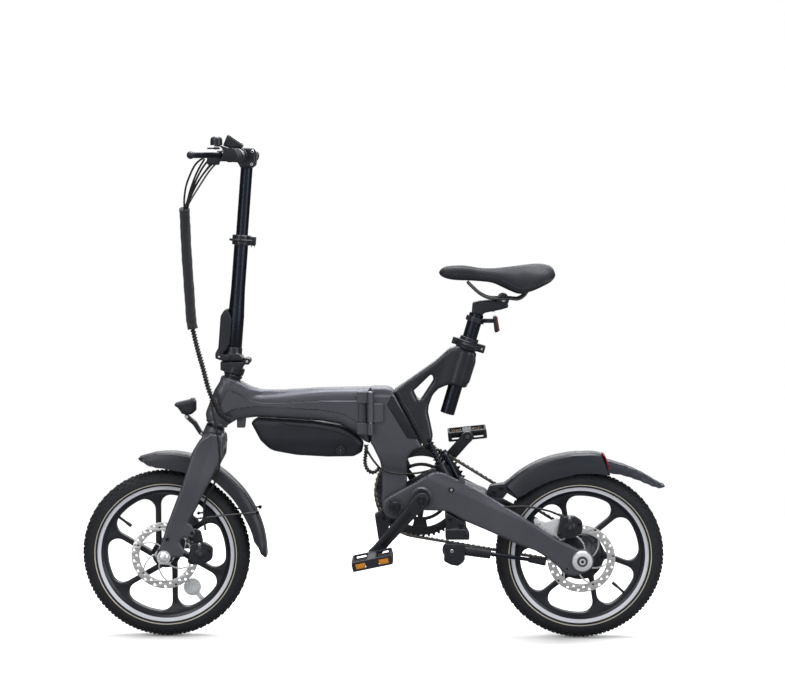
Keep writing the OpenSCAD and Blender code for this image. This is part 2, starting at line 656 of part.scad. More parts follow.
module bar_cables() color("#101012") {
    swept(smooth([for (i = [0:4]) bar_route[i]], 4), 2.5);
    swept(smooth(throttle_route, 4), 2.5);
    swept(smooth([for (i = [4:10]) bar_route[i] + [0, 0, i == 4 ? -3 : 0]], 4), 12.5, 12);
    swept(smooth([for (i = [10:len(bar_route) - 1]) bar_route[i] + [0, 0, i == 10 ? -1 : 0]], 4), 6.5);
}
module fork_cable() color("#101012") swept(smooth(fork_route, 4), 2.5);
module frame_cables() color("#101012") {
    swept(smooth(loop_route, 4), 5);
    swept(smooth([for (p = rear_brake_route) p + [0, -6, 0]], 4), 2.5);
}
module brake_cable() color("#101012") swept(smooth(caliper_route, 4), 2.5);

// ---- seat ----

module seatpost() color(satin_black) difference() {
    union() {
        lean(seat_foot, seat_tilt) cylinder(r = seatpost_r, h = seat_top);
        lean(seat(seat_top - 8), seat_tilt) cylinder(r = seatpost_r - 1, h = 20);
        side(26) polygon(from(saddle_at, [
            [-72, -8], [-56, -4], [-14, -2], [-6, -10], [14, -14], [12, -20], [-4, -25], [-46, -33], [-50, -40], [-74, -36]]));
        bar_y(saddle_at + [0, -3], 13, -13, 13);
    }
    lean(seat(-1), seat_tilt) cylinder(r = seatpost_r - 2.5, h = seat_top - 20);
    bar_y(saddle_at, 8 + fit, -30, 30);
}

module rear_reflector() color("#b01c1c") {
    lean(seat(seat_top - 8), seat_tilt) difference() {
        translate([0, 0, -8]) cylinder(r = seatpost_r + 5, h = 12);
        translate([0, 0, -9]) cylinder(r = seatpost_r, h = 14);
    }
    side(14) polygon(from(seat(seat_top - 10), [[20, 2], [44, 2], [44, -8], [20, -8]]));
    side(44) polygon(from(seat(seat_top - 10), [[42, 8], [52, 10], [58, -26], [46, -30]]));
}

module saddle_rails() color("#3a3b3e") {
    bar_y(saddle_at, 8, -22, 22);
    for (s = [-1, 1]) {
        swept([for (p = [[-78, 26], [-60, 14], [-36, 4], [-16, 2], [14, 2], [34, 1], [48, 9], [56, 20]])
            [saddle_at.x + p.x, s * 22, saddle_at.y + p.y]], 3.5);
        bar_y(saddle_at, 13, s > 0 ? 18.5 : -26, s > 0 ? 26 : -18.5);
    }
}

saddle_from = saddle_at.x - 152;
module saddle() color("#17181b") intersection() {
    side(saddle_w) polygon([
        for (p = [[0, 56], [12, 74], [40, 77], [80, 76], [120, 70], [150, 70], [200, 76], [240, 81], [264, 78],
            [274, 62], [272, 46], [246, 30], [222, 16], [200, 14], [176, 14], [160, 24], [135, 36], [105, 42],
            [34, 40], [8, 50]])
            [saddle_from + p.x * saddle_len / 274, saddle_at.y + p.y]]);
    translate([saddle_from, 0, 0]) linear_extrude(2000) polygon(concat(
        [for (a = [-90:15:90]) [16 - 16 * cos(a), 20 * sin(a)]],
        [[saddle_len * 0.35, 24], [saddle_len * 0.6, 46], [saddle_len * 0.75, saddle_w / 2 - 6],
            [saddle_len * 0.85, saddle_w / 2], [saddle_len - 6, saddle_w / 2 - 14], [saddle_len, 30],
            [saddle_len, -30], [saddle_len - 6, 14 - saddle_w / 2], [saddle_len * 0.85, -saddle_w / 2],
            [saddle_len * 0.75, 6 - saddle_w / 2], [saddle_len * 0.6, -46], [saddle_len * 0.35, -24]]));
}

// ---- swingarm and what it carries ----

module swingarm_outline() polygon(concat(
    from(pivot, [[-30, -8], [-26, 16], [-14, 25]]),
    from(bb, [[22, 56], [38, 61], [55, 57], [89, 40]]),
    from(rear_axle, [[-57, 49], [-5, 24], [16, 22], [28, 4], [26, -14], [12, -25], [-15, -38], [-37, -33], [-44, -26],
        [-76, 3], [-109, 23], [-147, 36]]),
    from(bb, [[106, -56], [60, -32], [0, -30]]),
    from(pivot, [[14, -28], [-16, -28]])));

module swingarm() color(frame_grey) difference() {
    union() {
        intersection() {
            side(180) swingarm_outline();
            union() {
                linear_extrude(900) polygon([
                    [pivot.x - 40, -46], [pivot.x + 50, -48], [bb.x + 120, -48], [rear_axle.x - 155, -62],
                    [rear_axle.x - 105, dropout_y[0]], [rear_axle.x + 40, dropout_y[0]],
                    [rear_axle.x + 40, dropout_y[1]], [rear_axle.x - 96, dropout_y[1]],
                    [rear_axle.x - 150, -46], [rear_axle.x - wheel_r - 8, -34], [rear_axle.x - wheel_r - 22, -20],
                    [rear_axle.x - wheel_r - 22, 20], [rear_axle.x - wheel_r - 8, 30],
                    [rear_axle.x - 150, 36], [rear_axle.x - 96, dropout_y[2]], [rear_axle.x + 40, dropout_y[2]],
                    [rear_axle.x + 40, dropout_y[3]], [rear_axle.x - 105, dropout_y[3]],
                    [rear_axle.x - 155, 48], [rear_axle.x - wheel_r + 10, 38], [pivot.x - 40, 38]]);
            }
        }
        bar_y(bb, 27, -56, 42);
    }
    bar_y(bb, 12 + fit, -70, 70);
    bar_y(pivot, 8 + 3 * fit, -60, 60);
    // the slot that takes the frame's lower leg
    side(61) polygon(from(pivot, [[-60, -60], [-60, 60], [50, 90], [36, 0], [26, -22], [10, -60]]));
    // the well that takes the shock
    side(40) polygon(from(shock_low, [[-60, 60], [8, 60], [34, 30], [24, -16], [-20, -16], [-44, 14]]));
    bar_y(rear_axle, 6 + fit, -100, 100);
    bar_y(shock_low, 4 + fit, -60, 60);
    bar_y(rear_axle + [-35, -19], 2.5, -100, 100);
}

module rear_axle() color("#c9ccd0") {
    bar_y(rear_axle, 6, -98, 80);
    for (f = [[dropout_y[0] - 14, dropout_y[0] - gap / 4, 24], [dropout_y[3] + gap / 4, dropout_y[3] + 9, 15]])
        bar_y(rear_axle, f[2], f[0], f[1]);
    bar_y(shock_low, 4, -51, 41);
}

module rear_caliper() color("#2a2b2e") difference() {
    union() {
        translate([rear_axle.x - 62, rear_rotor_y - 18, rear_axle.y + 58]) cube([62, 36, 40]);
        side(7, dropout_y[1] + 3.6) polygon(from(rear_axle, [[-112, 98], [-112, 62], [-88, 50], [-57, 56], [-57, 98]]));
    }
    at_wheel(rear_axle, rear_rotor_y) cylinder(r = rotor_r + 3, h = rotor_t + 4, center = true);
}

module rear_fender() color(satin_black) {
    fender_r = wheel_r + 46;
    tail = rear_axle + [208.6, 165];
    at_wheel(rear_axle) fender_channel(fender_r, wheel_r - 2, 34, 78, 138);
    difference() {
        side(68) polygon(concat(
            from(rear_axle, [[44, fender_r - 4], [62, fender_r - 12], [118, fender_r - 42]]),
            [tail, tail + [-16, -6]],
            from(rear_axle, [[118, wheel_r - 13], [59, wheel_r - 3], [36, wheel_r + 4]])));
        side(62) polygon(concat(
            from(rear_axle, [[20, fender_r - 7], [62, fender_r - 16], [118, fender_r - 46]]),
            [tail + [-12, -4], tail + [-40, -20]],
            from(rear_axle, [[118, wheel_r - 30], [30, wheel_r - 16]])));
    }
    difference() {
        side(30) polygon(from(rear_axle, [
            [-219, 158], [-214, 166], [-178, 170], [-160, 186], [-156, 180], [-170, 160], [-176, 156]]));
        at_wheel(rear_axle) cylinder(r = wheel_r + 20, h = 90, center = true);
    }
    side(8, -16) polygon(concat(
        from(rear_axle, [[-219, 158], [-178, 170], [-174, 150], [-182, 136]]),
        from(rear_axle, [[-220, 142]])));
}

// Tangent points of the chain's outline, rf and rr from the two centres.
chain_v = (rear_axle - bb) / norm(rear_axle - bb);
function chain_turn(rf, rr) = acos((rf - rr) / norm(rear_axle - bb));
function turned(v, a) = [v.x * cos(a) - v.y * sin(a), v.x * sin(a) + v.y * cos(a)];
module chain_outline(d) {
    a = chain_turn(ring_r + d, cog_r + d);
    translate(bb) circle(r = ring_r + d, $fn = 128);
    translate(rear_axle) circle(r = cog_r + d);
    polygon([
        bb + (ring_r + d - sink) * turned(chain_v, a), rear_axle + (cog_r + d - sink) * turned(chain_v, a),
        rear_axle + (cog_r + d - sink) * turned(chain_v, -a), bb + (ring_r + d - sink) * turned(chain_v, -a)]);
}

module chain() color("#2c2c2e") difference() {
    side(8, chain_y) chain_outline(4.5);
    side(12, chain_y) chain_outline(-4.5);
    side(4, chain_y) chain_outline(2.6);
}

module chainring() color("#232427") difference() {
    bar_y(bb, ring_r + 2, chain_y - 1.2, chain_y + 1.2);
    bar_y(bb, ring_r - 26, chain_y - 5, chain_y + 5);
    for (k = [0:ring_teeth - 1]) let (a = 360 * k / ring_teeth)
        bar_y(bb + (ring_r + 3.4) * [cos(a), sin(a)], 4.4, chain_y - 5, chain_y + 5, $fn = 16);
}

module crankset() color(satin_black) difference() {
    union() {
        bar_y(bb, 12, -crank_in - 4, crank_in + 4);
        for (s = [-1, 1]) {
            c = s > 0 ? right_pedal_at : left_pedal_at;
            y0 = s > 0 ? crank_in - 15 : -crank_in - 1;
            bar_y(bb, 17, y0, y0 + 16);
            translate([bb.x, s * (crank_in + crank_t / 2 - 2), bb.y]) rotate([0, -atan2(c.y - bb.y, c.x - bb.x), 0])
                translate([0, -crank_t / 2, -12]) cube([crank_len, crank_t, 24]);
            bar_y(c, 14, s > 0 ? crank_in - 1 : 3 - crank_in - crank_t, s > 0 ? crank_in + crank_t - 3 : 1 - crank_in);
        }
        for (k = [0:4])
            translate([bb.x, 0, bb.y]) rotate([0, 72 * k - 20, 0])
                translate([0, chain_y + 1.3, -9]) cube([ring_r - 12, 6, 18]);
        bar_y(bb, 24, chain_y - 1, crank_in - 14);
    }
    bar_y(left_pedal_at, 7 + fit, -crank_in - 40, 0);
    bar_y(right_pedal_at, 7 + fit, 0, crank_in + 40);
}

// Pedal: s is -1 on the left, 1 on the right; its platform leans by turn.
module pedal(c, s, turn) {
    inner = crank_in + crank_t + 5;
    bar_y(c, 7, s > 0 ? crank_in : -inner - 8, s > 0 ? inner + 8 : -crank_in);
    translate([c.x, s * (inner + pedal_w / 2), c.y]) rotate([0, turn, 0]) {
        difference() {
            cube([94, pedal_w, 22], center = true);
            for (k = [-1, 1])
                translate([27 * k, 0, 0]) cube([26, pedal_w - 20, 30], center = true);
        }
    }
}
module left_pedal() color(satin_black) pedal(left_pedal_at, -1, 12);
module right_pedal() color(satin_black) pedal(right_pedal_at, 1, 6);

module rear_cog() color("#2c2c2e") difference() {
    union() {
        bar_y(rear_axle, cog_r + 2, chain_y - 1.2, chain_y + 1.2);
        bar_y(rear_axle, cog_r - 7, chain_y - 6, chain_y + 5);
    }
    for (k = [0:cog_teeth - 1]) let (a = 360 * k / cog_teeth + 9)
        bar_y(rear_axle + (cog_r + 3.4) * [cos(a), sin(a)], 4.4, chain_y - 1.3, chain_y + 1.3, $fn = 16);
    bar_y(rear_axle, 16 + fit, 0, 90);
}

module rear_tyre() color("#202022") at_wheel(rear_axle) tyre();

module rear_rim() color(satin_black) at_wheel(rear_axle) difference() {
    cast_rim(60, 23);
    cylinder(r = 57, h = 60, center = true);
}

module hub_motor() color("#1e1f22") difference() {
    union() {
        bar_y(rear_axle, 57 - fit, -28, 28);
        bar_y(rear_axle, 40, -36, 36);
        bar_y(rear_axle, 24, -57, 38);
        bar_y(rear_axle, 16, 30, 51);
    }
    bar_y(rear_axle, 6 + fit, -90, 90);
}

module rear_rotor() color("silver") at_wheel(rear_axle, rear_rotor_y) rotor(7);

module kickstand_mount() color(satin_black) difference() {
    union() {
        side(58, stand_y + 37) polygon(from(bb, [[60, -34], [104, -58], [108, -72], [58, -72], [56, -40]]));
        side(34, stand_y + 17) polygon(from(bb, [[57, -72], [108, -72], [114, -84], [114, -98], [57, -98]]));
        translate([stand_at.x, stand_y, stand_at.y]) rotate([69.4, 0, 0]) translate([0, 0, -34]) cylinder(r = 17, h = 24);
    }
    swept_clear();
}

// The space that the kickstand's sleeve turns in.
module swept_clear()
    translate([stand_at.x, stand_y, stand_at.y]) rotate([69.4, 0, 0]) translate([0, 0, -9.6]) cylinder(r = 40, h = 60);

module kickstand() color(satin_black)
    translate([stand_at.x, stand_y, stand_at.y]) {
        rotate([69.4, 0, 0]) translate([0, 0, -9.2]) cylinder(r = 15, h = 16.2);
        rotate(-stand_fold, stand_axis) rotate([-20.6, 0, 0]) mirror([0, 0, 1]) {
            cylinder(r = 9, h = 98);
            cylinder(r = 6.5, h = stand_len - 30);
            translate([0, 0, stand_len - 40]) cylinder(r1 = 8, r2 = 11, h = 40);
        }
    }

module shock_body() color(satin_black) lean(shock_low, shock_tilt) difference() {
    union() {
        cylinder(r = 16, h = 62);
        translate([22, 0, 10]) cylinder(r = 7, h = 76);
        translate([0, -5, 20]) cube([22, 10, 30]);
        rotate([90, 0, 0]) cylinder(r = 15, h = 30, center = true);
    }
    translate([0, 0, 12]) cylinder(r = 7 + fit, h = 200);
    rotate([90, 0, 0]) cylinder(r = 4.9, h = 60, center = true);
}

module shock_shaft() color("#8c8f94") lean(shock_low, shock_tilt) difference() {
    union() {
        translate([0, 0, 30]) cylinder(r = 7, h = shock_len - 34);
        translate([0, 0, shock_len]) rotate([90, 0, 0]) cylinder(r = 10, h = 20, center = true);
    }
    translate([0, 0, shock_len]) rotate([90, 0, 0]) cylinder(r = 4 + fit, h = 60, center = true);
}

rear_frame();
seat_mast();
frame_pins();
parking_foot();
seat_collar();
seat_lever();
front_frame();
headset();
frame_latch();
battery();
fork();
post_base();
front_axle();
front_fender();
front_caliper();
light_bracket();
headlight();
front_tyre();
front_rim();
front_rotor();
wheel_reflector();
handlepost();
post_collar();
post_latch();
post_lever();
upper_post();
handlebar();
grips();
display();
control_pods();
left_brake_lever();
right_brake_lever();
bell();
bell_striker();
bar_cables();
fork_cable();
frame_cables();
brake_cable();
seatpost();
rear_reflector();
saddle();
saddle_rails();
swingarm();
rear_axle();
rear_caliper();
rear_fender();
chain();
kickstand_mount();
kickstand();
crankset();
chainring();
left_pedal();
right_pedal();
rear_cog();
rear_tyre();
rear_rim();
hub_motor();
rear_rotor();
shock_shaft();
shock_body();
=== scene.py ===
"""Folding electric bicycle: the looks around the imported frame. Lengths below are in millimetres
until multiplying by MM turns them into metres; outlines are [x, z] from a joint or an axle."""
import math
import json
import random
import bpy
import bmesh
from mathutils import Matrix, Vector


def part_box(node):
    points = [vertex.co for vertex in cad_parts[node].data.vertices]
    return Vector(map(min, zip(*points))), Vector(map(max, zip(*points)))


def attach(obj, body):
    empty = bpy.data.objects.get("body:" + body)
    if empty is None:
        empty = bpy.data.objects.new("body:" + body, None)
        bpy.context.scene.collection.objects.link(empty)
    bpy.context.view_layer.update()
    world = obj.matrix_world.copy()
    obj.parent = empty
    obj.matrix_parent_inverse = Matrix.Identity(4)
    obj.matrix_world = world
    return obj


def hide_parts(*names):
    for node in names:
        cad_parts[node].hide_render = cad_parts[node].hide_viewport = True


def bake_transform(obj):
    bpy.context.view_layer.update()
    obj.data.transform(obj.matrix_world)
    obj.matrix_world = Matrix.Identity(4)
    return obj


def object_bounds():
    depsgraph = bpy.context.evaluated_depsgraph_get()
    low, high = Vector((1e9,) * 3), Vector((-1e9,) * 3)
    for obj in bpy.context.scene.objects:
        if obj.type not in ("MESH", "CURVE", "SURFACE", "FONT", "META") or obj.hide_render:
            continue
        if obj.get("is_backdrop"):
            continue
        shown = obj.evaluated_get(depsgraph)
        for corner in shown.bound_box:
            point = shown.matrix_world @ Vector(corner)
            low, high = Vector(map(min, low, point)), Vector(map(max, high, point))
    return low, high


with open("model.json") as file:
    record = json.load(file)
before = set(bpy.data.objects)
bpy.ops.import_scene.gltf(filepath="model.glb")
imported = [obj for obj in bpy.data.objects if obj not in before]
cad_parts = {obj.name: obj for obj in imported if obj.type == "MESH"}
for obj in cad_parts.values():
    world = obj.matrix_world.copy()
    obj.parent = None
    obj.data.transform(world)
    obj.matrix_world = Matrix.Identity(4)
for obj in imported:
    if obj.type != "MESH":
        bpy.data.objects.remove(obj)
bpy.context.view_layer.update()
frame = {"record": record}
random.seed(7)
for leftover in ("Cube", "Light", "Camera"):
    if leftover in bpy.data.objects:
        bpy.data.objects.remove(bpy.data.objects[leftover])


MM = 0.001
JOINT = {j["name"]: j for j in frame["record"]["behaviour"]["joints"]}


def pivot(name):
    """A joint's place as [x, z], in millimetres."""
    x, _, z = JOINT[name]["pos_m"]
    return (x * 1000, z * 1000)


def middle(node):
    low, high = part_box(node)
    return [(a + b) * 500 for a, b in zip(low, high)]


HINGE = (pivot("frame_fold")[0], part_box("rear_frame")[1][2] * 1000)
HINGE_Y = JOINT["frame_fold"]["pos_m"][1] * 1000
HEAD = pivot("steering")
FRONT = (middle("front_tyre")[0], middle("front_tyre")[2])
REAR = (middle("rear_tyre")[0], middle("rear_tyre")[2])
BB = pivot("crank_spin")
ARM = pivot("suspension")
FOLD = pivot("handlebar_fold")
STAND = pivot("kickstand_fold")
SADDLE = pivot("saddle_tilt")
BAR = (middle("handlebar")[0], middle("handlebar")[2])
WHEEL_R = (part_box("front_tyre")[1][2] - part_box("front_tyre")[0][2]) * 500
BAR_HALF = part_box("handlebar")[1][1] * 1000
HEAD_TILT = math.degrees(math.atan2(JOINT["steering"]["axis"][0], JOINT["steering"]["axis"][2]))
POST_TILT = math.degrees(math.atan2(JOINT["post_slide"]["axis"][0], JOINT["post_slide"]["axis"][2]))
SEAT_TILT = math.degrees(math.atan2(JOINT["seat_height"]["axis"][0], JOINT["seat_height"]["axis"][2]))


def off(origin, points):
    """Outline points given from an origin; a third value is the corner's fillet radius."""
    return [(origin[0] + p[0], origin[1] + p[1]) + tuple(p[2:]) for p in points]


def lean(origin, tilt, along, out=0):
    """A point a distance along a leaning axis, and out to its rear."""
    s, c = math.sin(math.radians(tilt)), math.cos(math.radians(tilt))
    return (origin[0] + along * s + out * c, origin[1] + along * c - out * s)


# ---------------------------------------------------------------- camera, floor and light

def look_at(obj, target):
    obj.rotation_euler = (Vector(target) - obj.location).to_track_quat("-Z", "Y").to_euler()


def studio():
    camera = bpy.data.objects.new("camera", bpy.data.cameras.new("camera"))
    bpy.context.collection.objects.link(camera)
    camera.location = (0.120, -4.600, 1.130)
    look_at(camera, (0.043, 0, 0.7165))
    camera.data.lens = 89.9
    camera.data.sensor_width = 36
    camera.data.clip_end = 60
    bpy.context.scene.camera = camera
    for name, place, target, size, power, tint in (
        ("key", (-2.2, -3.0, 3.4), (0, 0, 0.5), (2.6, 2.2), 80, (1, 0.985, 0.96)),
        ("top", (0.3, 0.3, 3.9), (0, 0, 0.4), (3.6, 2.4), 260, (1, 1, 1)),
        ("side", (3.4, -2.2, 1.7), (0.1, 0, 0.5), (1.8, 2.6), 45, (0.93, 0.96, 1)),
        ("low", (-0.4, -4.4, 0.9), (0, 0, 0.5), (4.2, 1.0), 14, (1, 1, 1)),
        ("left_strip", (-2.0, -2.87, 1.0), (0, 0, 0.75), (0.2, 1.8), 18, (1, 1, 1)),
        ("right_strip", (2.34, -2.6, 1.0), (0, 0, 0.75), (0.2, 1.8), 18, (1, 1, 1)),
        ("back", (0.2, 3.4, 2.2), (0, 0, 0.5), (3.4, 1.8), 60, (1, 1, 1)),
    ):
        lamp = bpy.data.lights.new(name, "AREA")
        lamp.shape = "RECTANGLE"
        lamp.size, lamp.size_y = size
        lamp.energy = power
        lamp.color = tint
        obj = bpy.data.objects.new(name, lamp)
        bpy.context.collection.objects.link(obj)
        obj.location = place
        look_at(obj, target)
    world = bpy.data.worlds.new("studio")
    world.use_nodes = True
    tree = world.node_tree
    seen = tree.nodes["Background"]
    seen.inputs["Color"].default_value = (1, 1, 1, 1)
    seen.inputs["Strength"].default_value = 1.0
    fill = tree.nodes.new("ShaderNodeBackground")
    fill.inputs["Color"].default_value = (1, 1, 1, 1)
    fill.inputs["Strength"].default_value = 0.28
    path = tree.nodes.new("ShaderNodeLightPath")
    mix = tree.nodes.new("ShaderNodeMixShader")
    tree.links.new(path.outputs["Is Camera Ray"], mix.inputs["Fac"])
    tree.links.new(fill.outputs["Background"], mix.inputs[1])
    tree.links.new(seen.outputs["Background"], mix.inputs[2])
    tree.links.new(mix.outputs["Shader"], tree.nodes["World Output"].inputs["Surface"])
    bpy.context.scene.world = world
    bpy.context.scene.view_settings.view_transform = "Standard"
    bpy.ops.mesh.primitive_plane_add(size=60)
    floor = bpy.context.object
    floor.name = "floor"
    floor.location.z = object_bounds()[0][2] - 0.0005
    floor.data.materials.append(sweep())
    floor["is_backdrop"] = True


def sweep():
    """White paper: bright to the camera, dull to the object, and plain white far from it."""
    mat, tree, shader = nodes_of("paper_sweep")
    for node, tint in (("near", 0.97), ("bounce", 0.22)):
        diffuse = tree.nodes.new("ShaderNodeBsdfDiffuse")
        diffuse.name = node
        diffuse.inputs["Color"].default_value = (tint, tint, tint, 1)
    glow = tree.nodes.new("ShaderNodeEmission")
    glow.inputs["Strength"].default_value = 1.0
    place = tree.nodes.new("ShaderNodeTexCoord")
    reach = tree.nodes.new("ShaderNodeVectorMath")
    reach.operation = "LENGTH"
    tree.links.new(place.outputs["Object"], reach.inputs[0])
    fade = tree.nodes.new("ShaderNodeMapRange")
    fade.inputs["From Min"].default_value = 1.0
    fade.inputs["From Max"].default_value = 2.0
    tree.links.new(reach.outputs["Value"], fade.inputs["Value"])
    far = tree.nodes.new("ShaderNodeMixShader")
    tree.links.new(fade.outputs["Result"], far.inputs["Fac"])
    tree.links.new(tree.nodes["near"].outputs["BSDF"], far.inputs[1])
    tree.links.new(glow.outputs["Emission"], far.inputs[2])
    path = tree.nodes.new("ShaderNodeLightPath")
    seen = tree.nodes.new("ShaderNodeMixShader")
    tree.links.new(path.outputs["Is Camera Ray"], seen.inputs["Fac"])
    tree.links.new(tree.nodes["bounce"].outputs["BSDF"], seen.inputs[1])
    tree.links.new(far.outputs["Shader"], seen.inputs[2])
    tree.links.new(seen.outputs["Shader"], tree.nodes["Material Output"].inputs["Surface"])
    tree.nodes.remove(shader)
    return mat


# ---------------------------------------------------------------- materials

def nodes_of(name):
    mat = bpy.data.materials.new(name)
    mat.use_nodes = True
    tree = mat.node_tree
    return mat, tree, tree.nodes["Principled BSDF"]


def texture(tree, kind, **values):
    coords = tree.nodes.new("ShaderNodeTexCoord")
    node = tree.nodes.new(kind)
    tree.links.new(coords.outputs["Object"], node.inputs["Vector"])
    for key, value in values.items():
        node.inputs[key].default_value = value
    return node


def ramp(tree, source, low, high, start=0.35, end=0.65):
    node = tree.nodes.new("ShaderNodeValToRGB")
    node.color_ramp.elements[0].position = start
    node.color_ramp.elements[1].position = end
    node.color_ramp.elements[0].color = low if len(low) == 4 else (*low, 1)
    node.color_ramp.elements[1].color = high if len(high) == 4 else (*high, 1)
    tree.links.new(source, node.inputs["Fac"])
    return node


def bump(tree, shader, source, depth, strength=1.0, under=None):
    node = tree.nodes.new("ShaderNodeBump")
    node.inputs["Strength"].default_value = strength
    node.inputs["Distance"].default_value = depth * MM
    tree.links.new(source, node.inputs["Height"])
    if under:
        tree.links.new(under.outputs["Normal"], node.inputs["Normal"])
    tree.links.new(node.outputs["Normal"], shader.inputs["Normal"])
    return node


def finish(name, colour, rough=0.4, metal=0.0, grain=600, depth=0.05, spread=0.18, coat=0.0, worn=0.12):
    """A painted, moulded or cast surface: fine grain, slow colour drift, uneven gloss and faint scuffs."""
    mat, tree, shader = nodes_of(name)
    shader.inputs["Metallic"].default_value = metal
    shader.inputs["Coat Weight"].default_value = coat
    shader.inputs["Coat Roughness"].default_value = 0.25
    shader.inputs["Specular IOR Level"].default_value = 0.35
    drift = texture(tree, "ShaderNodeTexNoise", Scale=9, Detail=4)
    tone = ramp(tree, drift.outputs["Fac"], [v * (1 - spread) for v in colour],
                [min(1, v * (1 + spread)) for v in colour])
    scuffs = texture(tree, "ShaderNodeTexNoise", Scale=70, Detail=8, Distortion=1.5)
    marks = ramp(tree, scuffs.outputs["Fac"], (0, 0, 0), (worn, worn, worn), 0.62, 0.72)
    mix = tree.nodes.new("ShaderNodeMix")
    mix.data_type = "RGBA"
    mix.inputs["B"].default_value = (*[min(1, v * 1.6 + 0.01) for v in colour], 1)
    tree.links.new(marks.outputs["Color"], mix.inputs["Factor"])
    tree.links.new(tone.outputs["Color"], mix.inputs["A"])
    tree.links.new(mix.outputs["Result"], shader.inputs["Base Color"])
    fine = texture(tree, "ShaderNodeTexNoise", Scale=grain, Detail=3)
    smear = texture(tree, "ShaderNodeTexNoise", Scale=23, Detail=5)
    gloss = ramp(tree, smear.outputs["Fac"], (rough * 0.88,) * 3, (min(1, rough * 1.14),) * 3, 0.3, 0.7)
    tree.links.new(gloss.outputs["Color"], shader.inputs["Roughness"])
    bump(tree, shader, fine.outputs["Fac"], depth, 0.6)
    return mat


def brushed(name, colour, rough=0.28, scale=(40, 40, 900)):
    """Machined metal with fine turning or brushing lines."""
    mat, tree, shader = nodes_of(name)
    shader.inputs["Metallic"].default_value = 1.0
    coords = tree.nodes.new("ShaderNodeTexCoord")
    stretch = tree.nodes.new("ShaderNodeMapping")
    stretch.inputs["Scale"].default_value = scale
    tree.links.new(coords.outputs["Object"], stretch.inputs["Vector"])
    lines = tree.nodes.new("ShaderNodeTexNoise")
    lines.inputs["Scale"].default_value = 3
    lines.inputs["Detail"].default_value = 6
    tree.links.new(stretch.outputs["Vector"], lines.inputs["Vector"])
    tone = ramp(tree, lines.outputs["Fac"], [v * 0.9 for v in colour], [min(1, v * 1.04) for v in colour])
    tree.links.new(tone.outputs["Color"], shader.inputs["Base Color"])
    gloss = ramp(tree, lines.outputs["Fac"], (rough * 0.85,) * 3, (rough * 1.2,) * 3)
    tree.links.new(gloss.outputs["Color"], shader.inputs["Roughness"])
    bump(tree, shader, lines.outputs["Fac"], 0.03, 0.5)
    return mat


def woven(name, colour, scale=520, depth=0.35):
    """Ribbed cloth or braid."""
    mat, tree, shader = nodes_of(name)
    shader.inputs["Roughness"].default_value = 0.85
    shader.inputs["Sheen Weight"].default_value = 0.25
    rib = texture(tree, "ShaderNodeTexWave", Scale=scale, Distortion=0.6)
    rib.bands_direction = "Z"
    weft = texture(tree, "ShaderNodeTexWave", Scale=scale * 0.7, Distortion=0.4)
    weft.bands_direction = "DIAGONAL"
    tone = ramp(tree, rib.outputs["Fac"], [v * 0.55 for v in colour], [v * 1.25 for v in colour], 0.1, 0.9)
    tree.links.new(tone.outputs["Color"], shader.inputs["Base Color"])
    first = bump(tree, shader, weft.outputs["Fac"], depth, 0.5)
    bump(tree, shader, rib.outputs["Fac"], depth, 0.7, first)
    return mat


def leathery(name, colour):
    """Soft saddle cover with a fine pebble grain."""
    mat, tree, shader = nodes_of(name)
    shader.inputs["Specular IOR Level"].default_value = 0.3
    pebble = texture(tree, "ShaderNodeTexVoronoi", Scale=900)
    drift = texture(tree, "ShaderNodeTexNoise", Scale=14, Detail=4)
    tone = ramp(tree, drift.outputs["Fac"], [v * 0.8 for v in colour], [v * 1.3 for v in colour])
    tree.links.new(tone.outputs["Color"], shader.inputs["Base Color"])
    gloss = ramp(tree, drift.outputs["Fac"], (0.5,) * 3, (0.66,) * 3)
    tree.links.new(gloss.outputs["Color"], shader.inputs["Roughness"])
    bump(tree, shader, pebble.outputs["Distance"], 0.16, 0.55)
    return mat


def lens(name, colour, rough=0.12, through=0.35):
    """Ribbed reflector or lamp lens."""
    mat, tree, shader = nodes_of(name)
    shader.inputs["Transmission Weight"].default_value = through
    shader.inputs["IOR"].default_value = 1.49
    cells = texture(tree, "ShaderNodeTexVoronoi", Scale=420)
    tone = ramp(tree, cells.outputs["Distance"], [min(1, v * 1.35) for v in colour],
                [v * 0.7 for v in colour], 0, 0.8)
    tree.links.new(tone.outputs["Color"], shader.inputs["Base Color"])
    gloss = ramp(tree, cells.outputs["Distance"], (rough,) * 3, (rough * 2,) * 3)
    tree.links.new(gloss.outputs["Color"], shader.inputs["Roughness"])
    bump(tree, shader, cells.outputs["Distance"], 0.4, 0.5)
    return mat


GREY = finish("magnesium_grey_paint", (0.080, 0.082, 0.096), rough=0.40, metal=0.6, grain=1500,
              depth=0.02, spread=0.06, worn=0.15)
BLACK = finish("satin_black_paint", (0.0070, 0.0088, 0.0135), rough=0.36, metal=0.1, grain=1200,
               depth=0.02, coat=0.15)
PLASTIC = finish("moulded_black_plastic", (0.0075, 0.0095, 0.0145), rough=0.5, grain=1600, depth=0.05)
FENDER = finish("fender_plastic", (0.0078, 0.0098, 0.0155), rough=0.4, grain=1400, depth=0.02, coat=0.1)
RUBBER = finish("grip_rubber", (0.0085, 0.0100, 0.0135), rough=0.78, grain=900, depth=0.12)
TYRE = finish("tyre_rubber", (0.0082, 0.0094, 0.0125), rough=0.72, grain=700, depth=0.18)
CABLE = finish("cable_sheath", (0.008, 0.008, 0.009), rough=0.45, grain=1200, depth=0.03)
BOLT = finish("black_oxide_bolts", (0.02, 0.02, 0.022), rough=0.35, metal=0.8, grain=900, depth=0.03)
STEEL = brushed("ground_steel", (0.62, 0.62, 0.63), 0.3)
SILVER = brushed("machined_aluminium", (0.86, 0.87, 0.90), 0.34, (90, 90, 90))
DARK_STEEL = brushed("dark_steel", (0.10, 0.10, 0.105), 0.36)
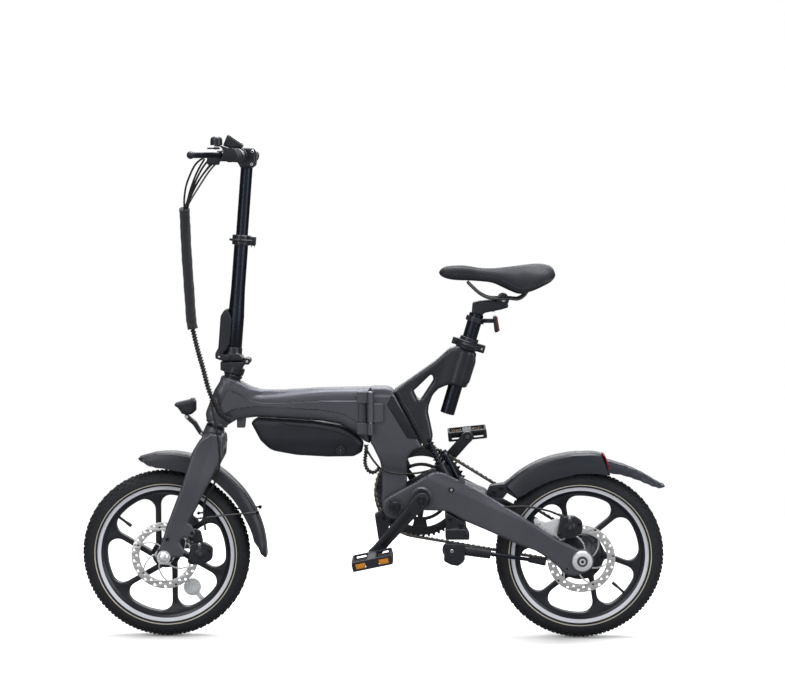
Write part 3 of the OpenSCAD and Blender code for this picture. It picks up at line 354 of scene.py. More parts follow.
CHAIN_STEEL = brushed("chain_steel", (0.16, 0.15, 0.14), 0.38, (200, 200, 200))
SLEEVE = woven("cable_sleeve_cloth", (0.0085, 0.0100, 0.0150))
COVER = leathery("saddle_cover", (0.0085, 0.0100, 0.0150))
REFLECT = finish("reflective_tape", (0.60, 0.61, 0.66), rough=0.32, grain=1900, depth=0.05, spread=0.05)
BEIGE = finish("tyre_sidewall_line", (0.42, 0.39, 0.33), rough=0.6, grain=1200, depth=0.05)
RED = lens("red_reflector", (0.42, 0.012, 0.02))
AMBER = lens("amber_reflector", (0.75, 0.28, 0.02))
CLEAR = lens("clear_reflector", (0.72, 0.75, 0.78), through=0.5)
GLASS = lens("lamp_lens", (0.7, 0.72, 0.76), 0.05, 0.6)
SCREEN = finish("screen_glass", (0.01, 0.011, 0.014), rough=0.08, grain=300, depth=0.0, coat=0.6, worn=0)
POST = brushed("anodised_black_tube", (0.022, 0.025, 0.033), 0.32, (900, 900, 12))


# ---------------------------------------------------------------- mesh helpers

def add(name, mesh, material, body=None, replaces=(), angle=35):
    obj = bpy.data.objects.new(name, mesh)
    bpy.context.collection.objects.link(obj)
    for m in material if isinstance(material, (list, tuple)) else [material]:
        mesh.materials.append(m)
    mesh.shade_smooth()
    mesh.set_sharp_from_angle(angle=math.radians(angle))
    if body:
        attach(obj, body)
    if replaces:
        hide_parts(*replaces)
    return obj


def finished(obj, *modifiers):
    """The object's mesh with modifiers applied."""
    for kind, values in modifiers:
        m = obj.modifiers.new(kind.lower(), kind)
        for key, value in values.items():
            setattr(m, key, value)
    graph = bpy.context.evaluated_depsgraph_get()
    mesh = bpy.data.meshes.new_from_object(obj.evaluated_get(graph))
    return mesh


def fillet(points, default=0):
    """An outline's corners, rounded to each point's own radius."""
    out = []
    n = len(points)
    for i, p in enumerate(points):
        a, b, c = (Vector(points[k % n][:2]) for k in (i - 1, i, i + 1))
        r = p[2] if len(p) > 2 else default
        u, v = (a - b).normalized(), (c - b).normalized()
        turn = math.acos(max(-1, min(1, u.dot(v))))
        if r <= 0 or turn > math.radians(177):
            out.append(b)
            continue
        reach = min(r / math.tan(turn / 2), (a - b).length * 0.49, (c - b).length * 0.49)
        start, end = b + u * reach, b + v * reach
        steps = max(3, int(math.degrees(math.pi - turn) / 9))
        for k in range(steps + 1):
            t = k / steps
            out.append(start * (1 - t) ** 2 + b * 2 * t * (1 - t) + end * t ** 2)
    return out


def slab(outline, half, centre=0, edge=3, holes=(), steps=4):
    """A plate with rounded edges: a mesh from outlines in [x, z], half thick each way about y."""
    data = bpy.data.curves.new("slab", "CURVE")
    data.dimensions = "2D"
    data.fill_mode = "BOTH"
    data.bevel_depth = edge * MM
    data.bevel_resolution = steps
    data.offset = -edge * MM
    data.extrude = (half - edge) * MM
    for ring in [outline, *holes]:
        spline = data.splines.new("POLY")
        spline.points.add(len(ring) - 1)
        for point, p in zip(spline.points, ring):
            point.co = (p[0] * MM, p[1] * MM, 0, 1)
        spline.use_cyclic_u = True
    obj = bpy.data.objects.new("slab", data)
    bpy.context.collection.objects.link(obj)
    mesh = finished(obj)
    bpy.data.objects.remove(obj)
    bpy.data.curves.remove(data)
    mesh.transform(Matrix.Translation((0, centre * MM, 0)) @ Matrix.Rotation(math.pi / 2, 4, "X"))
    return welded(mesh)


def welded(mesh, reach=0.00001):
    bm = bmesh.new()
    bm.from_mesh(mesh)
    bmesh.ops.remove_doubles(bm, verts=bm.verts, dist=reach)
    bmesh.ops.recalc_face_normals(bm, faces=bm.faces)
    bm.to_mesh(mesh)
    bm.free()
    return mesh


def joined(meshes, slots=None):
    """Several meshes as one; slots gives each its material index."""
    bm = bmesh.new()
    for i, mesh in enumerate(meshes):
        first = len(bm.faces)
        bm.from_mesh(mesh)
        bm.faces.ensure_lookup_table()
        for face in bm.faces[first:]:
            face.material_index = slots[i] if slots else 0
    out = bpy.data.meshes.new("joined")
    bm.to_mesh(out)
    bm.free()
    return out


def turned(profile, p, axis="Y", y=0, tilt=0, steps=48, close=True):
    """A body of revolution. profile is [(radius, along)]; it stands at p = [x, z] and y."""
    bm = bmesh.new()
    rings = []
    for r, a in profile:
        rings.append([bm.verts.new((r * MM * math.cos(t), r * MM * math.sin(t), a * MM))
                      for t in (2 * math.pi * k / steps for k in range(steps))])
    for low, high in zip(rings, rings[1:]):
        for k in range(steps):
            bm.faces.new((low[k], low[(k + 1) % steps], high[(k + 1) % steps], high[k]))
    if close is True:
        for ring, flip in ((rings[0], True), (rings[-1], False)):
            if profile[0 if flip else -1][0] > 0.01:
                bm.faces.new(reversed(ring) if flip else ring)
    elif close == "loop":
        for k in range(steps):
            bm.faces.new((rings[-1][k], rings[-1][(k + 1) % steps], rings[0][(k + 1) % steps], rings[0][k]))
    bmesh.ops.remove_doubles(bm, verts=bm.verts, dist=1e-6)
    bmesh.ops.recalc_face_normals(bm, faces=bm.faces)
    mesh = bpy.data.meshes.new("turned")
    bm.to_mesh(mesh)
    bm.free()
    spin = Matrix.Rotation(-math.pi / 2, 4, "X") if axis == "Y" else Matrix.Rotation(math.radians(tilt),
            4, "Y")
    mesh.transform(Matrix.Translation((p[0] * MM, y * MM, p[1] * MM)) @ spin)
    return mesh


def rod(p, r, y0, y1, edge=0.8, steps=40):
    """A bar along Y with chamfered ends."""
    return turned([(0, y0), (r - edge, y0), (r, y0 + edge), (r, y1 - edge), (r - edge, y1), (0, y1)], p,
                  steps=steps)


def stick(p, tilt, r0, r1, a0, a1, edge=0.8, steps=40, y=0):
    """A bar along a leaning axis, from a0 to a1 along it."""
    return turned([(0, a0), (r0 - edge, a0), (r0, a0 + edge), (r1, a1 - edge), (r1 - edge, a1), (0, a1)],
                  p, axis="Z", tilt=tilt, steps=steps, y=y)


def block(low, high, edge=1.5, steps=3):
    """A box with rounded edges, between two corners in millimetres."""
    bm = bmesh.new()
    bmesh.ops.create_cube(bm, size=1)
    for v in bm.verts:
        for k in range(3):
            v.co[k] = (low[k] if v.co[k] < 0 else high[k]) * MM
    bmesh.ops.bevel(bm, geom=bm.edges[:], offset=edge * MM, segments=steps, profile=0.5, affect="EDGES")
    mesh = bpy.data.meshes.new("block")
    bm.to_mesh(mesh)
    bm.free()
    return mesh


def smooth_line(points, n=8):
    """A Catmull-Rom curve through 3-D points, n steps to each."""
    pts = [Vector(p) for p in points]
    out = []
    for i in range(len(pts) - 1):
        a, b, c, d = pts[max(i - 1, 0)], pts[i], pts[i + 1], pts[min(i + 2, len(pts) - 1)]
        for k in range(n):
            t = k / n
            out.append(0.5 * (2 * b + (c - a) * t + (2 * a - 5 * b + 4 * c - d) * t * t
                              + (3 * b - a - 3 * c + d) * t ** 3))
    out.append(pts[-1])
    return out


def tube(points, r, n=12, radii=None, flat=1.0):
    """A closed tube along a line of points in millimetres; radii may vary along it."""
    pts = [Vector(p) * MM for p in points]
    bm = bmesh.new()
    side = Vector((0.1, 0.99, 0.05))
    rings = []
    for i, p in enumerate(pts):
        t = (pts[min(i + 1, len(pts) - 1)] - pts[max(i - 1, 0)]).normalized()
        side = (side - t * side.dot(t)).normalized()
        up = t.cross(side)
        rr = (radii[i] if radii else r) * MM
        rings.append([bm.verts.new(p + rr * (math.cos(a) * side * flat + math.sin(a) * up))
                      for a in (2 * math.pi * k / n for k in range(n))])
    for a, b in zip(rings, rings[1:]):
        for k in range(n):
            bm.faces.new((a[k], a[(k + 1) % n], b[(k + 1) % n], b[k]))
    bm.faces.new(reversed(rings[0]))
    bm.faces.new(rings[-1])
    bmesh.ops.recalc_face_normals(bm, faces=bm.faces)
    mesh = bpy.data.meshes.new("tube")
    bm.to_mesh(mesh)
    bm.free()
    return mesh


def coil(points, r_coil, r_wire, turn_pitch, n=6):
    """A helix of wire wrapped round a line of points."""
    pts = [Vector(p) for p in points]
    side = Vector((0.1, 0.99, 0.05))
    line, angle = [], 0
    for i in range(len(pts) - 1):
        t = (pts[i + 1] - pts[i]).normalized()
        side = (side - t * side.dot(t)).normalized()
        up = t.cross(side)
        length = (pts[i + 1] - pts[i]).length
        steps = max(1, int(length / turn_pitch * 10))
        for k in range(steps):
            angle += 2 * math.pi * length / steps / turn_pitch
            p = pts[i].lerp(pts[i + 1], k / steps)
            line.append(p + r_coil * (math.cos(angle) * side + math.sin(angle) * up))
    return tube(line, r_wire, n)


def cast(meshes, voxel=2.0, smoothing=6, shape=None):
    """Bodies fused into one softly rounded casting. shape moves each vertex, given in millimetres."""
    source = bpy.data.objects.new("cast", joined(meshes))
    bpy.context.collection.objects.link(source)
    mesh = finished(source, ("REMESH", {"mode": "VOXEL", "voxel_size": voxel * MM}),
                    ("SMOOTH", {"factor": 0.5, "iterations": smoothing}))
    bpy.data.objects.remove(source)
    if shape:
        for v in mesh.vertices:
            v.co = Vector(shape(v.co.x * 1000, v.co.y * 1000, v.co.z * 1000)) * MM
    return mesh


def cut(mesh, *tools):
    """The mesh less each tool."""
    obj = bpy.data.objects.new("cut", mesh)
    bpy.context.collection.objects.link(obj)
    helpers = []
    for tool in tools:
        helper = bpy.data.objects.new("tool", tool)
        bpy.context.collection.objects.link(helper)
        helpers.append(helper)
        m = obj.modifiers.new("cut", "BOOLEAN")
        m.operation = "DIFFERENCE"
        m.solver = "EXACT"
        m.object = helper
    out = finished(obj)
    for o in [obj, *helpers]:
        bpy.data.objects.remove(o)
    return out


def step(x, low, high):
    """0 before low, 1 after high, smooth between."""
    t = max(0, min(1, (x - low) / (high - low)))
    return t * t * (3 - 2 * t)


def bolt_head(p, r, y0, y1, steps=24):
    """A socket cap screw seen from the side that y1 faces."""
    s = 1 if y1 > y0 else -1
    return turned([(0, y0), (r, y0), (r, y1 - 0.6 * s), (r - 0.6, y1), (r * 0.5, y1),
                   (r * 0.45, y1 - r * 0.6 * s), (0, y1 - r * 0.6 * s)],
                  p, steps=steps)


# ---------------------------------------------------------------- wheels

def tyre_casing():
    """A hollow tyre section between its beads."""
    profile = []
    for k in range(33):
        a = math.radians(-112 + 224 * k / 32)
        profile.append((WHEEL_R - 27.5 + 25.2 * math.cos(a), 24.0 * math.sin(a)))
    inner = [(r - 2.5 if r > WHEEL_R - 30 else r, y * 0.9) for r, y in reversed(profile)]
    return profile + inner


def tread():
    """Rows of knobs: blocks over the crown and shoulders."""
    bm = bmesh.new()
    rows = ((0, 60, 3.6, 4.4, 0.0), (8.5, 60, 3.0, 4.6, 0.5), (15.2, 60, 3.0, 3.6, 0.0),
            (20.2, 60, 2.6, 2.6, 0.5))
    for y, count, half_y, half_a, phase in rows:
        for side in ((-1, 1) if y else (1,)):
            for k in range(count):
                a = 2 * math.pi * (k + phase) / count
                lift = math.asin(min(1, y / 24.0))
                crown = WHEEL_R - 27.5 + 25.2 * math.cos(lift)
                normal = Vector((math.cos(lift), side * math.sin(lift)))
                top = []
                for shrink, rise in ((1.0, -1.2), (0.78, 2.0 if y < 18 else 1.7)):
                    for sy, sa in ((-1, -1), (1, -1), (1, 1), (-1, 1)):
                        r = crown + normal.x * rise - sy * half_y * shrink * normal.y
                        yy = side * y + normal.y * rise + sy * half_y * shrink * normal.x
                        aa = a + sa * half_a * shrink / WHEEL_R
                        top.append(bm.verts.new((r * math.cos(aa) * MM, yy * MM, r * math.sin(aa) * MM)))
                for f in ((4, 5, 6, 7), (0, 1, 5, 4), (1, 2, 6, 5), (2, 3, 7, 6), (3, 0, 4, 7)):
                    bm.faces.new([top[i] for i in f])
                bm.faces.new([top[i] for i in (3, 2, 1, 0)])
    bmesh.ops.recalc_face_normals(bm, faces=bm.faces)
    mesh = bpy.data.meshes.new("tread")
    bm.to_mesh(mesh)
    bm.free()
    return mesh


def spoke_hole(turn, hub_r, hole_r=141, corner=25):
    """One petal between two spokes: straight beside the spokes, broad curves at the rim."""
    half, offset = 6.2, 19.0
    outline = []
    for start, shift, side in ((0, offset + half, 1), (60, offset - half, -1)):
        a = math.radians(turn + start)
        u, v = Vector((math.cos(a), math.sin(a))), Vector((-math.sin(a), math.cos(a)))
        across = shift + side * corner
        along = math.sqrt((hole_r - corner) ** 2 - across ** 2)
        near = (*(u * math.sqrt(hub_r ** 2 - shift ** 2) + v * shift), 6)
        low, high = sorted((-side * math.pi / 2, math.atan2(across, along)))
        curve = [(*(u * (along + corner * math.cos(t)) + v * (across + corner * math.sin(t))), 0)
                 for t in (low + (high - low) * k / 9 for k in range(10))]
        outline += [near, *curve] if side > 0 else [*curve, near]
        if side > 0:
            first = math.atan2(curve[-1][1], curve[-1][0])
        else:
            last = first + (math.atan2(curve[0][1], curve[0][0]) - first) % (2 * math.pi)
            rim = [(hole_r * math.cos(t), hole_r * math.sin(t),
                    0) for t in (first + (last - first) * k / 8 for k in range(1, 8))]
            outline[11:11] = rim
    return fillet(outline)


def at(mesh, p, y=0, turn=0):
    """A mesh drawn about the origin, turned in the wheel's plane and put at p."""
    mesh.transform(Matrix.Translation((p[0] * MM, y * MM,
                                       p[1] * MM)) @ Matrix.Rotation(-math.radians(turn), 4, "Y"))
    return mesh


def wheel(end, p, turn, hub_r, valve_angle):
    body = end + "_wheel"
    casing = turned(tyre_casing(), (0, 0), close="loop", steps=144)
    line = [turned([(167.2, s * 23.7), (168.2, s * 24.1), (169.4, s * 24.2), (169.4, s * 23.4),
                    (167.2, s * 23.0)],
                   (0, 0), close="loop", steps=120) for s in (-1, 1)]
    add(end + "_tyre_tread", at(joined([casing, tread(), *line], [0, 0, 1, 1]), p), [TYRE, BEIGE], body,
        [end + "_tyre"])
    disc = [(158 * math.cos(2 * math.pi * k / 120),
             158 * math.sin(2 * math.pi * k / 120)) for k in range(120)]
    holes = [spoke_hole(turn + 60 * k, hub_r) for k in range(6)]
    plate = slab(disc, 8, edge=2.4, holes=holes, steps=4)
    for v in plate.vertices:
        r = math.hypot(v.co.x, v.co.z) * 1000
        v.co.y *= 1 + 0.55 * step(r, 120, 150) + 0.45 * (1 - step(r, hub_r, hub_r + 35))
    ring = turned([(145.5, -11), (148, -13.6), (151.2, -15.5), (154, -17), (163, -19.6), (163.8, -18.4),
                   (158, -13),
                   (150, -8), (150, 8), (158, 13), (163.8, 18.4), (163, 19.6), (154, 17), (151.2, 15.5),
                   (148, 13.6),
                   (145.5, 11)], (0, 0), close="loop", steps=144)
    tape = [turned([(154.4, s * 17.5), (162.8, s * 20.0), (162.8, s * 19.2), (154.4, s * 16.7)], (0, 0),
                   close="loop", steps=144)
            for s in (-1, 1)]
    valve = tube([(145, 0, 0), (128, 0, 0), (112, 0, 0)], 3, radii=[3.2, 3.2, 3.0])
    cap = tube([(119, 0, 0), (105, 0, 0)], 4.0, n=14)
    stem = joined([valve, cap])
    stem.transform(Matrix.Rotation(-math.radians(valve_angle), 4, "Y"))
    parts = [plate, ring, *tape, stem]
    slots = [0, 0, 1, 1, 0]
    if end == "front":
        hub = turned([(5.3, -33), (22, -33), (24, -31), (24, -26), (31, -20), (34, -14), (34, 14),
                      (31, 20), (22, 27),
                      (22, 33), (5.3, 33)], (0, 0), close="loop", steps=64)
        parts.append(hub)
        slots.append(0)
    add(end + "_cast_wheel", at(joined(parts, slots), p), [BLACK, REFLECT], body, [end + "_rim"])


def brake_rotor(end, p, y, hub_r, turn):
    """A drilled ring on curved spider arms."""
    radius = 79.7

    def circle(r, n, cx=0, cz=0):
        return [(cx + r * math.cos(2 * math.pi * k / n),
                 cz + r * math.sin(2 * math.pi * k / n)) for k in range(n)]

    drilled = []
    for k in range(36):
        a = 2 * math.pi * k / 36
        r = 74.6 if k % 2 else 67.4
        drilled.append(circle(2.9 if k % 2 else 2.6, 12, r * math.cos(a), r * math.sin(a)))
    for k in range(6):
        a0 = math.radians(60 * k)
        arm = []
        for t in range(7):
            f = t / 6
            arm.append((Vector((math.cos(a0 + 0.62 * f),
                                math.sin(a0 + 0.62 * f))) * (hub_r + 3 + (60.5 - hub_r - 3) * f), 1))
        nxt = []
        for t in range(7):
            f = 1 - t / 6
            a = a0 + math.radians(60) - 0.13 + 0.62 * f + 0.05 * f
            nxt.append((Vector((math.cos(a), math.sin(a))) * (hub_r + 3 + (60.5 - hub_r - 3) * f), 1))
        top = [(Vector((math.cos(a), math.sin(a))) * 60.5, 1)
               for a in (a0 + 0.62 + (math.radians(60) - 0.08) * q / 6 for q in range(1, 6))]
        drilled.append([(v.x, v.y) for v, _ in arm + top + nxt])
    drilled.append(circle(hub_r - 3, 32))
    plate = slab(circle(radius, 160), 0.9, edge=0.25, holes=drilled, steps=1)
    bolts = [at(bolt_head((0, 0), 3.4, 2.6, -2.6, 14), (hub_r * math.cos(a) * 0.999,
            hub_r * math.sin(a) * 0.999))
             for a in (math.radians(60 * k + 20) for k in range(6))]
    mesh = joined([plate, *bolts], [0] + [1] * 6)
    add(end + "_brake_rotor", at(mesh, p, y, turn), [STEEL, BOLT], end + "_wheel", [end + "_rotor"],
        angle=25)


def wheels():
    wheel("front", FRONT, 30, 34, 143)
    wheel("rear", REAR, 39.5, 62, -41)
    brake_rotor("front", FRONT, middle("front_rotor")[1], 22, 0)
    brake_rotor("rear", REAR, middle("rear_rotor")[1], 22, 15)
    hub = joined([
        turned([(6.3, -57), (22, -57), (24, -55), (24, -44), (38, -37), (50, -33), (55, -28), (56.9, -22),
                (56.9, 22),
                (55, 28), (48, 33), (40, 35), (24, 38), (16, 39), (16, 51), (6.3, 51)], REAR,
                close="loop", steps=96),
        *[at(bolt_head((0, 0), 3, -30, -34.5, 12), (REAR[0] + 49 * math.cos(a), REAR[1] + 49 * math.sin(a)))
          for a in (math.radians(45 * k) for k in range(8))]], [0] + [1] * 8)
    add("motor_housing", hub, [BLACK, BOLT], "rear_wheel", ["hub_motor"])
    a = math.radians(-52)
    place = (FRONT[0] + 101 * math.cos(a), FRONT[1] + 101 * math.sin(a))
    disc = turned([(0, -19), (18, -19), (20.8, -17.6), (20.8, -14.5), (18, -13), (0, -13)], place, steps=40)
    neck = at(joined([block((12, -17.5, -5.5), (38, -13.4, 5.5), 1), rod((33, 0), 3, -19, -16)]), place,
              turn=-52)
    add("wheel_reflector_lens", joined([disc, neck], [0, 0]), [CLEAR], "front_wheel", ["wheel_reflector"])


# ---------------------------------------------------------------- frame castings

def front_casting():
    body = slab(fillet(off(HINGE, [(-0.3, -1), (-119, -3, 300)]) + off(HEAD, [
        (124, -8, 200), (81, -8, 60), (50, 0, 60), (30, 12, 8), (12, 20, 4), (-14, 24, 6), (-34, -7, 30),
        (-57, -66, 30),
        (-48, -90, 14), (-11, -96, 20), (20, -77, 16), (65, -71, 60)]) + off(HINGE, [
            (-119, -79, 120), (-73, -87, 40), (-37, -107, 40), (-14, -128, 10), (-0.3, -133)])), 38.6,
            edge=20, steps=9)
    tube_part = stick(lean(HEAD, HEAD_TILT, -96), HEAD_TILT, 25, 25.5, 2, 116, edge=2)

    def shape(x, y, z):
        along = step(x, HEAD[0] + 30, HINGE[0] - 60)
        wide = 25.5 + 11.5 * along
        if x > HINGE[0] - 14:
            wide += 1.2
        crease = HINGE[1] - 26 + 20 * step(x, HEAD[0] + 60, HINGE[0] - 60)
        above = step(z, crease - 2, crease + 9) * step(x, HEAD[0] + 34, HEAD[0] + 84)
        wide -= 8 * above * (1 - step(x, HINGE[0] - 190, HINGE[0] - 40))
        return (x, y / 38.6 * wide if abs(y) <= 38.6 else y, z)

    mesh = cast([body], 1.8, 12, shape)
    head_mesh = cast([tube_part, stick(lean(HEAD, HEAD_TILT, -96), HEAD_TILT, 26.5, 26.5, 0, 9, edge=2)],
                     1.6, 3)
    tab = slab(fillet(off(HEAD, [(18, -98), (18, -70), (40, -70), (37, -98)]), 3), 8, edge=1.5)
    y = HINGE_Y
    plates = [slab(fillet(off(HINGE, [(-31, z0), (-31, z1), (-4, z1), (-4, z0)]), 2), 4, y + 4.6, 1.2)
              for z0, z1 in ((-108, -81), (-34.2, -7.4))]
    knuckles = [stick((HINGE[0], HINGE[1] + z0), 0, 7.9, 7.9, 0, z1 - z0, 1, y=y) for z0,
                z1 in ((-108, -80.6), (-34.4, -7))]
    bore = stick((HINGE[0], HINGE[1] - 150), 0, 4.3, 4.3, 0, 170, 0.1, y=y)
    lugs = [cut(m, bore.copy()) for m in knuckles]
    add("front_frame_casting", joined([mesh, head_mesh, tab, *plates, *lugs], [0] * (3 + 4)), [GREY],
        "front_frame",
        ["front_frame"], angle=40)


PAD = [(38, -39, 3), (50, -14, 3), (113, -121, 4), (86, -118, 4)]


def rear_casting():
    outline = fillet(off(HINGE, [
        (0.3, -0.5, 1), (36, 0, 12), (46, -3, 8), (54, -10, 4), (122, -141, 3), (112, -143, 12),
        (99, -149, 20),
        (89, -162, 20), (85, -178, 20), (85, -202, 30), (86, -262, 20), (84, -296, 24), (60, -311, 22),
        (30, -304, 20),
        (26, -270, 20), (27, -202, 30), (22, -173, 40), (4, -135, 10), (0.3, -132, 1)]))
    upper = slab(outline, 38.6, edge=6, steps=5)

    def shape(x, y, z):
        leg = step(HINGE[1] - 150 - z, 0, 60)
        wide = 38.4 - 9.2 * leg
        if z > HINGE[1] - 22:
            wide -= 4.0 * step(z, HINGE[1] - 22, HINGE[1] - 14)
        return (x, y / 38.6 * wide, z)

    mesh = cast([upper], 2.0, 3, shape)
    pads = [slab(fillet(off(HINGE, PAD)), 3, s * 37.9, 0.3) for s in (-1, 1)]
    mesh = cut(mesh, *pads, rod(ARM, 8.2, -60, 60))
    y = HINGE_Y
    plate = slab(fillet(off(HINGE, [(4, -79.6), (4, -35.4), (30, -35.4), (30, -79.6)]), 2), 4, y + 4.6, 1.2)
    knuckle = stick((HINGE[0], HINGE[1] - 79.8), 0, 7.9, 7.9, 0, 44.6, 1, y=y)
    add("rear_frame_casting", joined([mesh, plate, knuckle]), [GREY], "rear_frame", ["rear_frame"],
        angle=40)


def mast_casting():
    window = fillet(off(HINGE, [(100, -8, 4), (108, -2, 3), (144, 33, 4), (148, 17, 6), (117, -31, 5),
                                (109, -27, 4)]))
    outline = fillet(off(HINGE, [
        (54.5, -8, 2), (154, 63, 30), (186, 92, 16), (206, 98, 10), (246, 84, 12), (247, 60, 20),
        (231, 8, 8), (179, 5, 10),
        (160, -3, 20), (146, -18, 25), (137, -42, 30), (135, -60, 30), (141, -88, 20), (147, -118, 8),
        (140, -126, 6),
        (131, -131, 3), (126.5, -143, 1)]))
    body = slab(outline, 24, edge=7, holes=[window], steps=5)
    seat_tube = stick(seat_at(60), SEAT_TILT, 27, 27, 10, 98, 4)
    neck = stick(seat_at(60), SEAT_TILT, 22, 22, 90, 128, 1)

    def shape(x, y, z):
        base = step(HINGE[0] + 112 - x + (HINGE[1] - 60 - z) * 0.6, -50, 40)
        tube = step(x - HINGE[0] + (z - HINGE[1]) * -0.29, 150, 185)
        return (x, y * (0.84 + 0.44 * base + 0.16 * tube), z)

    web = cast([body, seat_tube], 2.0, 9, shape)
    mesh = cut(web, stick(seat_at(-20), SEAT_TILT, 17.4, 17.4, 0, 400, 0.1, 48))
    socket = cut(neck, stick(seat_at(-20), SEAT_TILT, 17.4, 17.4, 0, 400, 0.1, 48))
    pads = [slab(fillet(off(HINGE, PAD)), 1.7, s * 36.6, 0.4) for s in (-1, 1)]
    foot = slab(fillet(off(HINGE, [(55, -9), (64, -4), (137, -134), (127, -142)]), 2), 33, edge=3)
    well = slab(fillet(off((122, 481), [(-16, 12), (12, 14), (34, -34), (2, -46), (-20, -16)]), 4), 12.5,
                edge=1)
    add("seat_mast_casting", joined([cut(mesh, well.copy()), socket, *pads, cut(foot, well)]), [BLACK],
        "rear_frame",
        ["seat_mast"], angle=38)


def seat_at(along):
    """A point along the seatpost from its lower end, in millimetres."""
    low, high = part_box("seatpost")
    s, c = math.sin(math.radians(SEAT_TILT)), math.cos(math.radians(SEAT_TILT))
    foot = (low[0] * 1000 + 17 * c, low[2] * 1000 + 17 * s)
    return (foot[0] + along * s, foot[1] + along * c)


def swingarm_casting():
    outline = fillet(off(ARM, [(-29, -8, 14), (-27, 14, 16), (-10, 27, 10)]) + off(BB, [
        (22, 57, 16), (38, 61, 14), (56, 57, 20), (89, 41, 40), (146, 12, 80)]) + off(REAR, [
            (-147, 107, 80), (-57, 49, 60), (-8, 26, 10), (16, 24, 14), (29, 4, 18), (26, -16, 16),
            (10, -28, 14), (-16, -37, 8),
            (-36, -34, 6), (-44, -26, 6), (-76, 3, 30), (-109, 23, 40), (-147, 36, 60)]) + off(BB, [
                (106, -56, 60), (60, -31, 40), (0, -30, 30)]) + off(ARM, [(14, -28, 20), (-14, -28, 16)]))
    gap_front = REAR[0] - WHEEL_R - 20

    def left(x, y, z):
        out = 9 * step(x, BB[0] + 40, BB[0] + 190) + 27 * step(x, BB[0] + 130, REAR[0] - 110)
        top_roll = 5 * step(z - (BB[1] + 50 - (x - BB[0] - 40) * 0.43), -16, 4)
        return (x, y - 40 - out + top_roll, z)

    def right(x, y, z):
        out = 6 * step(x, BB[0] + 40, BB[0] + 190) + 20 * step(x, BB[0] + 160, REAR[0] - 100)
        return (x, y + 33 + out, z)

    plate_l = cast([slab(outline, 8, edge=4.5, steps=5)], 2.0, 4, left)
    plate_r = cast([slab(outline, 6, edge=3.5, steps=4)], 2.0, 3, right)
    core_outline = fillet(off(BB, [(-24, -26, 10), (-20, 20, 10), (26, 50, 12), (56, 52, 14),
                                   (89, 36, 20), (gap_front - BB[0], 10, 10),
                                   (gap_front - BB[0], -50, 10), (100, -51, 20), (60, -27, 20)]))
    core = cut(cast([slab(core_outline, 40, edge=4)], 2.4, 2),
               slab(fillet(off((182, 361), [(-32, 60), (10, 60), (36, 30), (26, -18), (-22, -18),
            (-36, 10)]), 6), 20, edge=1),
               slab(fillet(off(ARM, [(-60, -60), (-60, 60), (50, 90), (38, 0), (28, -24), (10, -60)]), 4),
                    30.5, edge=0.5))
    shell = turned([(12.4, -56), (24, -56), (27, -53), (27, 39), (24, 42), (12.4, 42)], BB, close="loop",
                   steps=56)
    collar = turned([(12.4, -57), (21, -57), (23, -55.6), (23, -54), (12.4, -54)], BB, close="loop", steps=56)
    eye = [turned([(8.4, s * 30.6), (24, s * 30.6), (28, s * 33), (28, s * 38),
                   (24, s * (48 if s < 0 else 39)), (8.4, s * (48 if s < 0 else 39))],
                  ARM, close="loop", steps=56) for s in (-1, 1)]
    tab = slab(fillet(off(BB, [(86, 38), (92, 50), (100, 48), (104, 34)]), 3), 5, -40, 1)
    bores = [rod(REAR, 6.2, -120, 120), rod((REAR[0] - 35, REAR[1] - 19), 2.5, -120, 120, 0.1)]
    plate_l = cut(plate_l, *bores, rod(BB, 26.5, -80, 80), rod(ARM, 8.4, -80, 80))
    plate_r = cut(plate_r, *[m.copy() for m in (rod(REAR, 6.2, -120, 120),
            rod((REAR[0] - 35, REAR[1] - 19), 2.5, -120, 120, 0.1))],
                  rod(BB, 26.5, -80, 80), rod(ARM, 8.4, -80, 80))
    add("swingarm_casting", joined([plate_l, plate_r, core, shell, collar, *eye, tab],
                                   [0, 0, 0, 0, 1, 0, 0, 0]), [GREY, BOLT],
        "swingarm", ["swingarm"], angle=40)


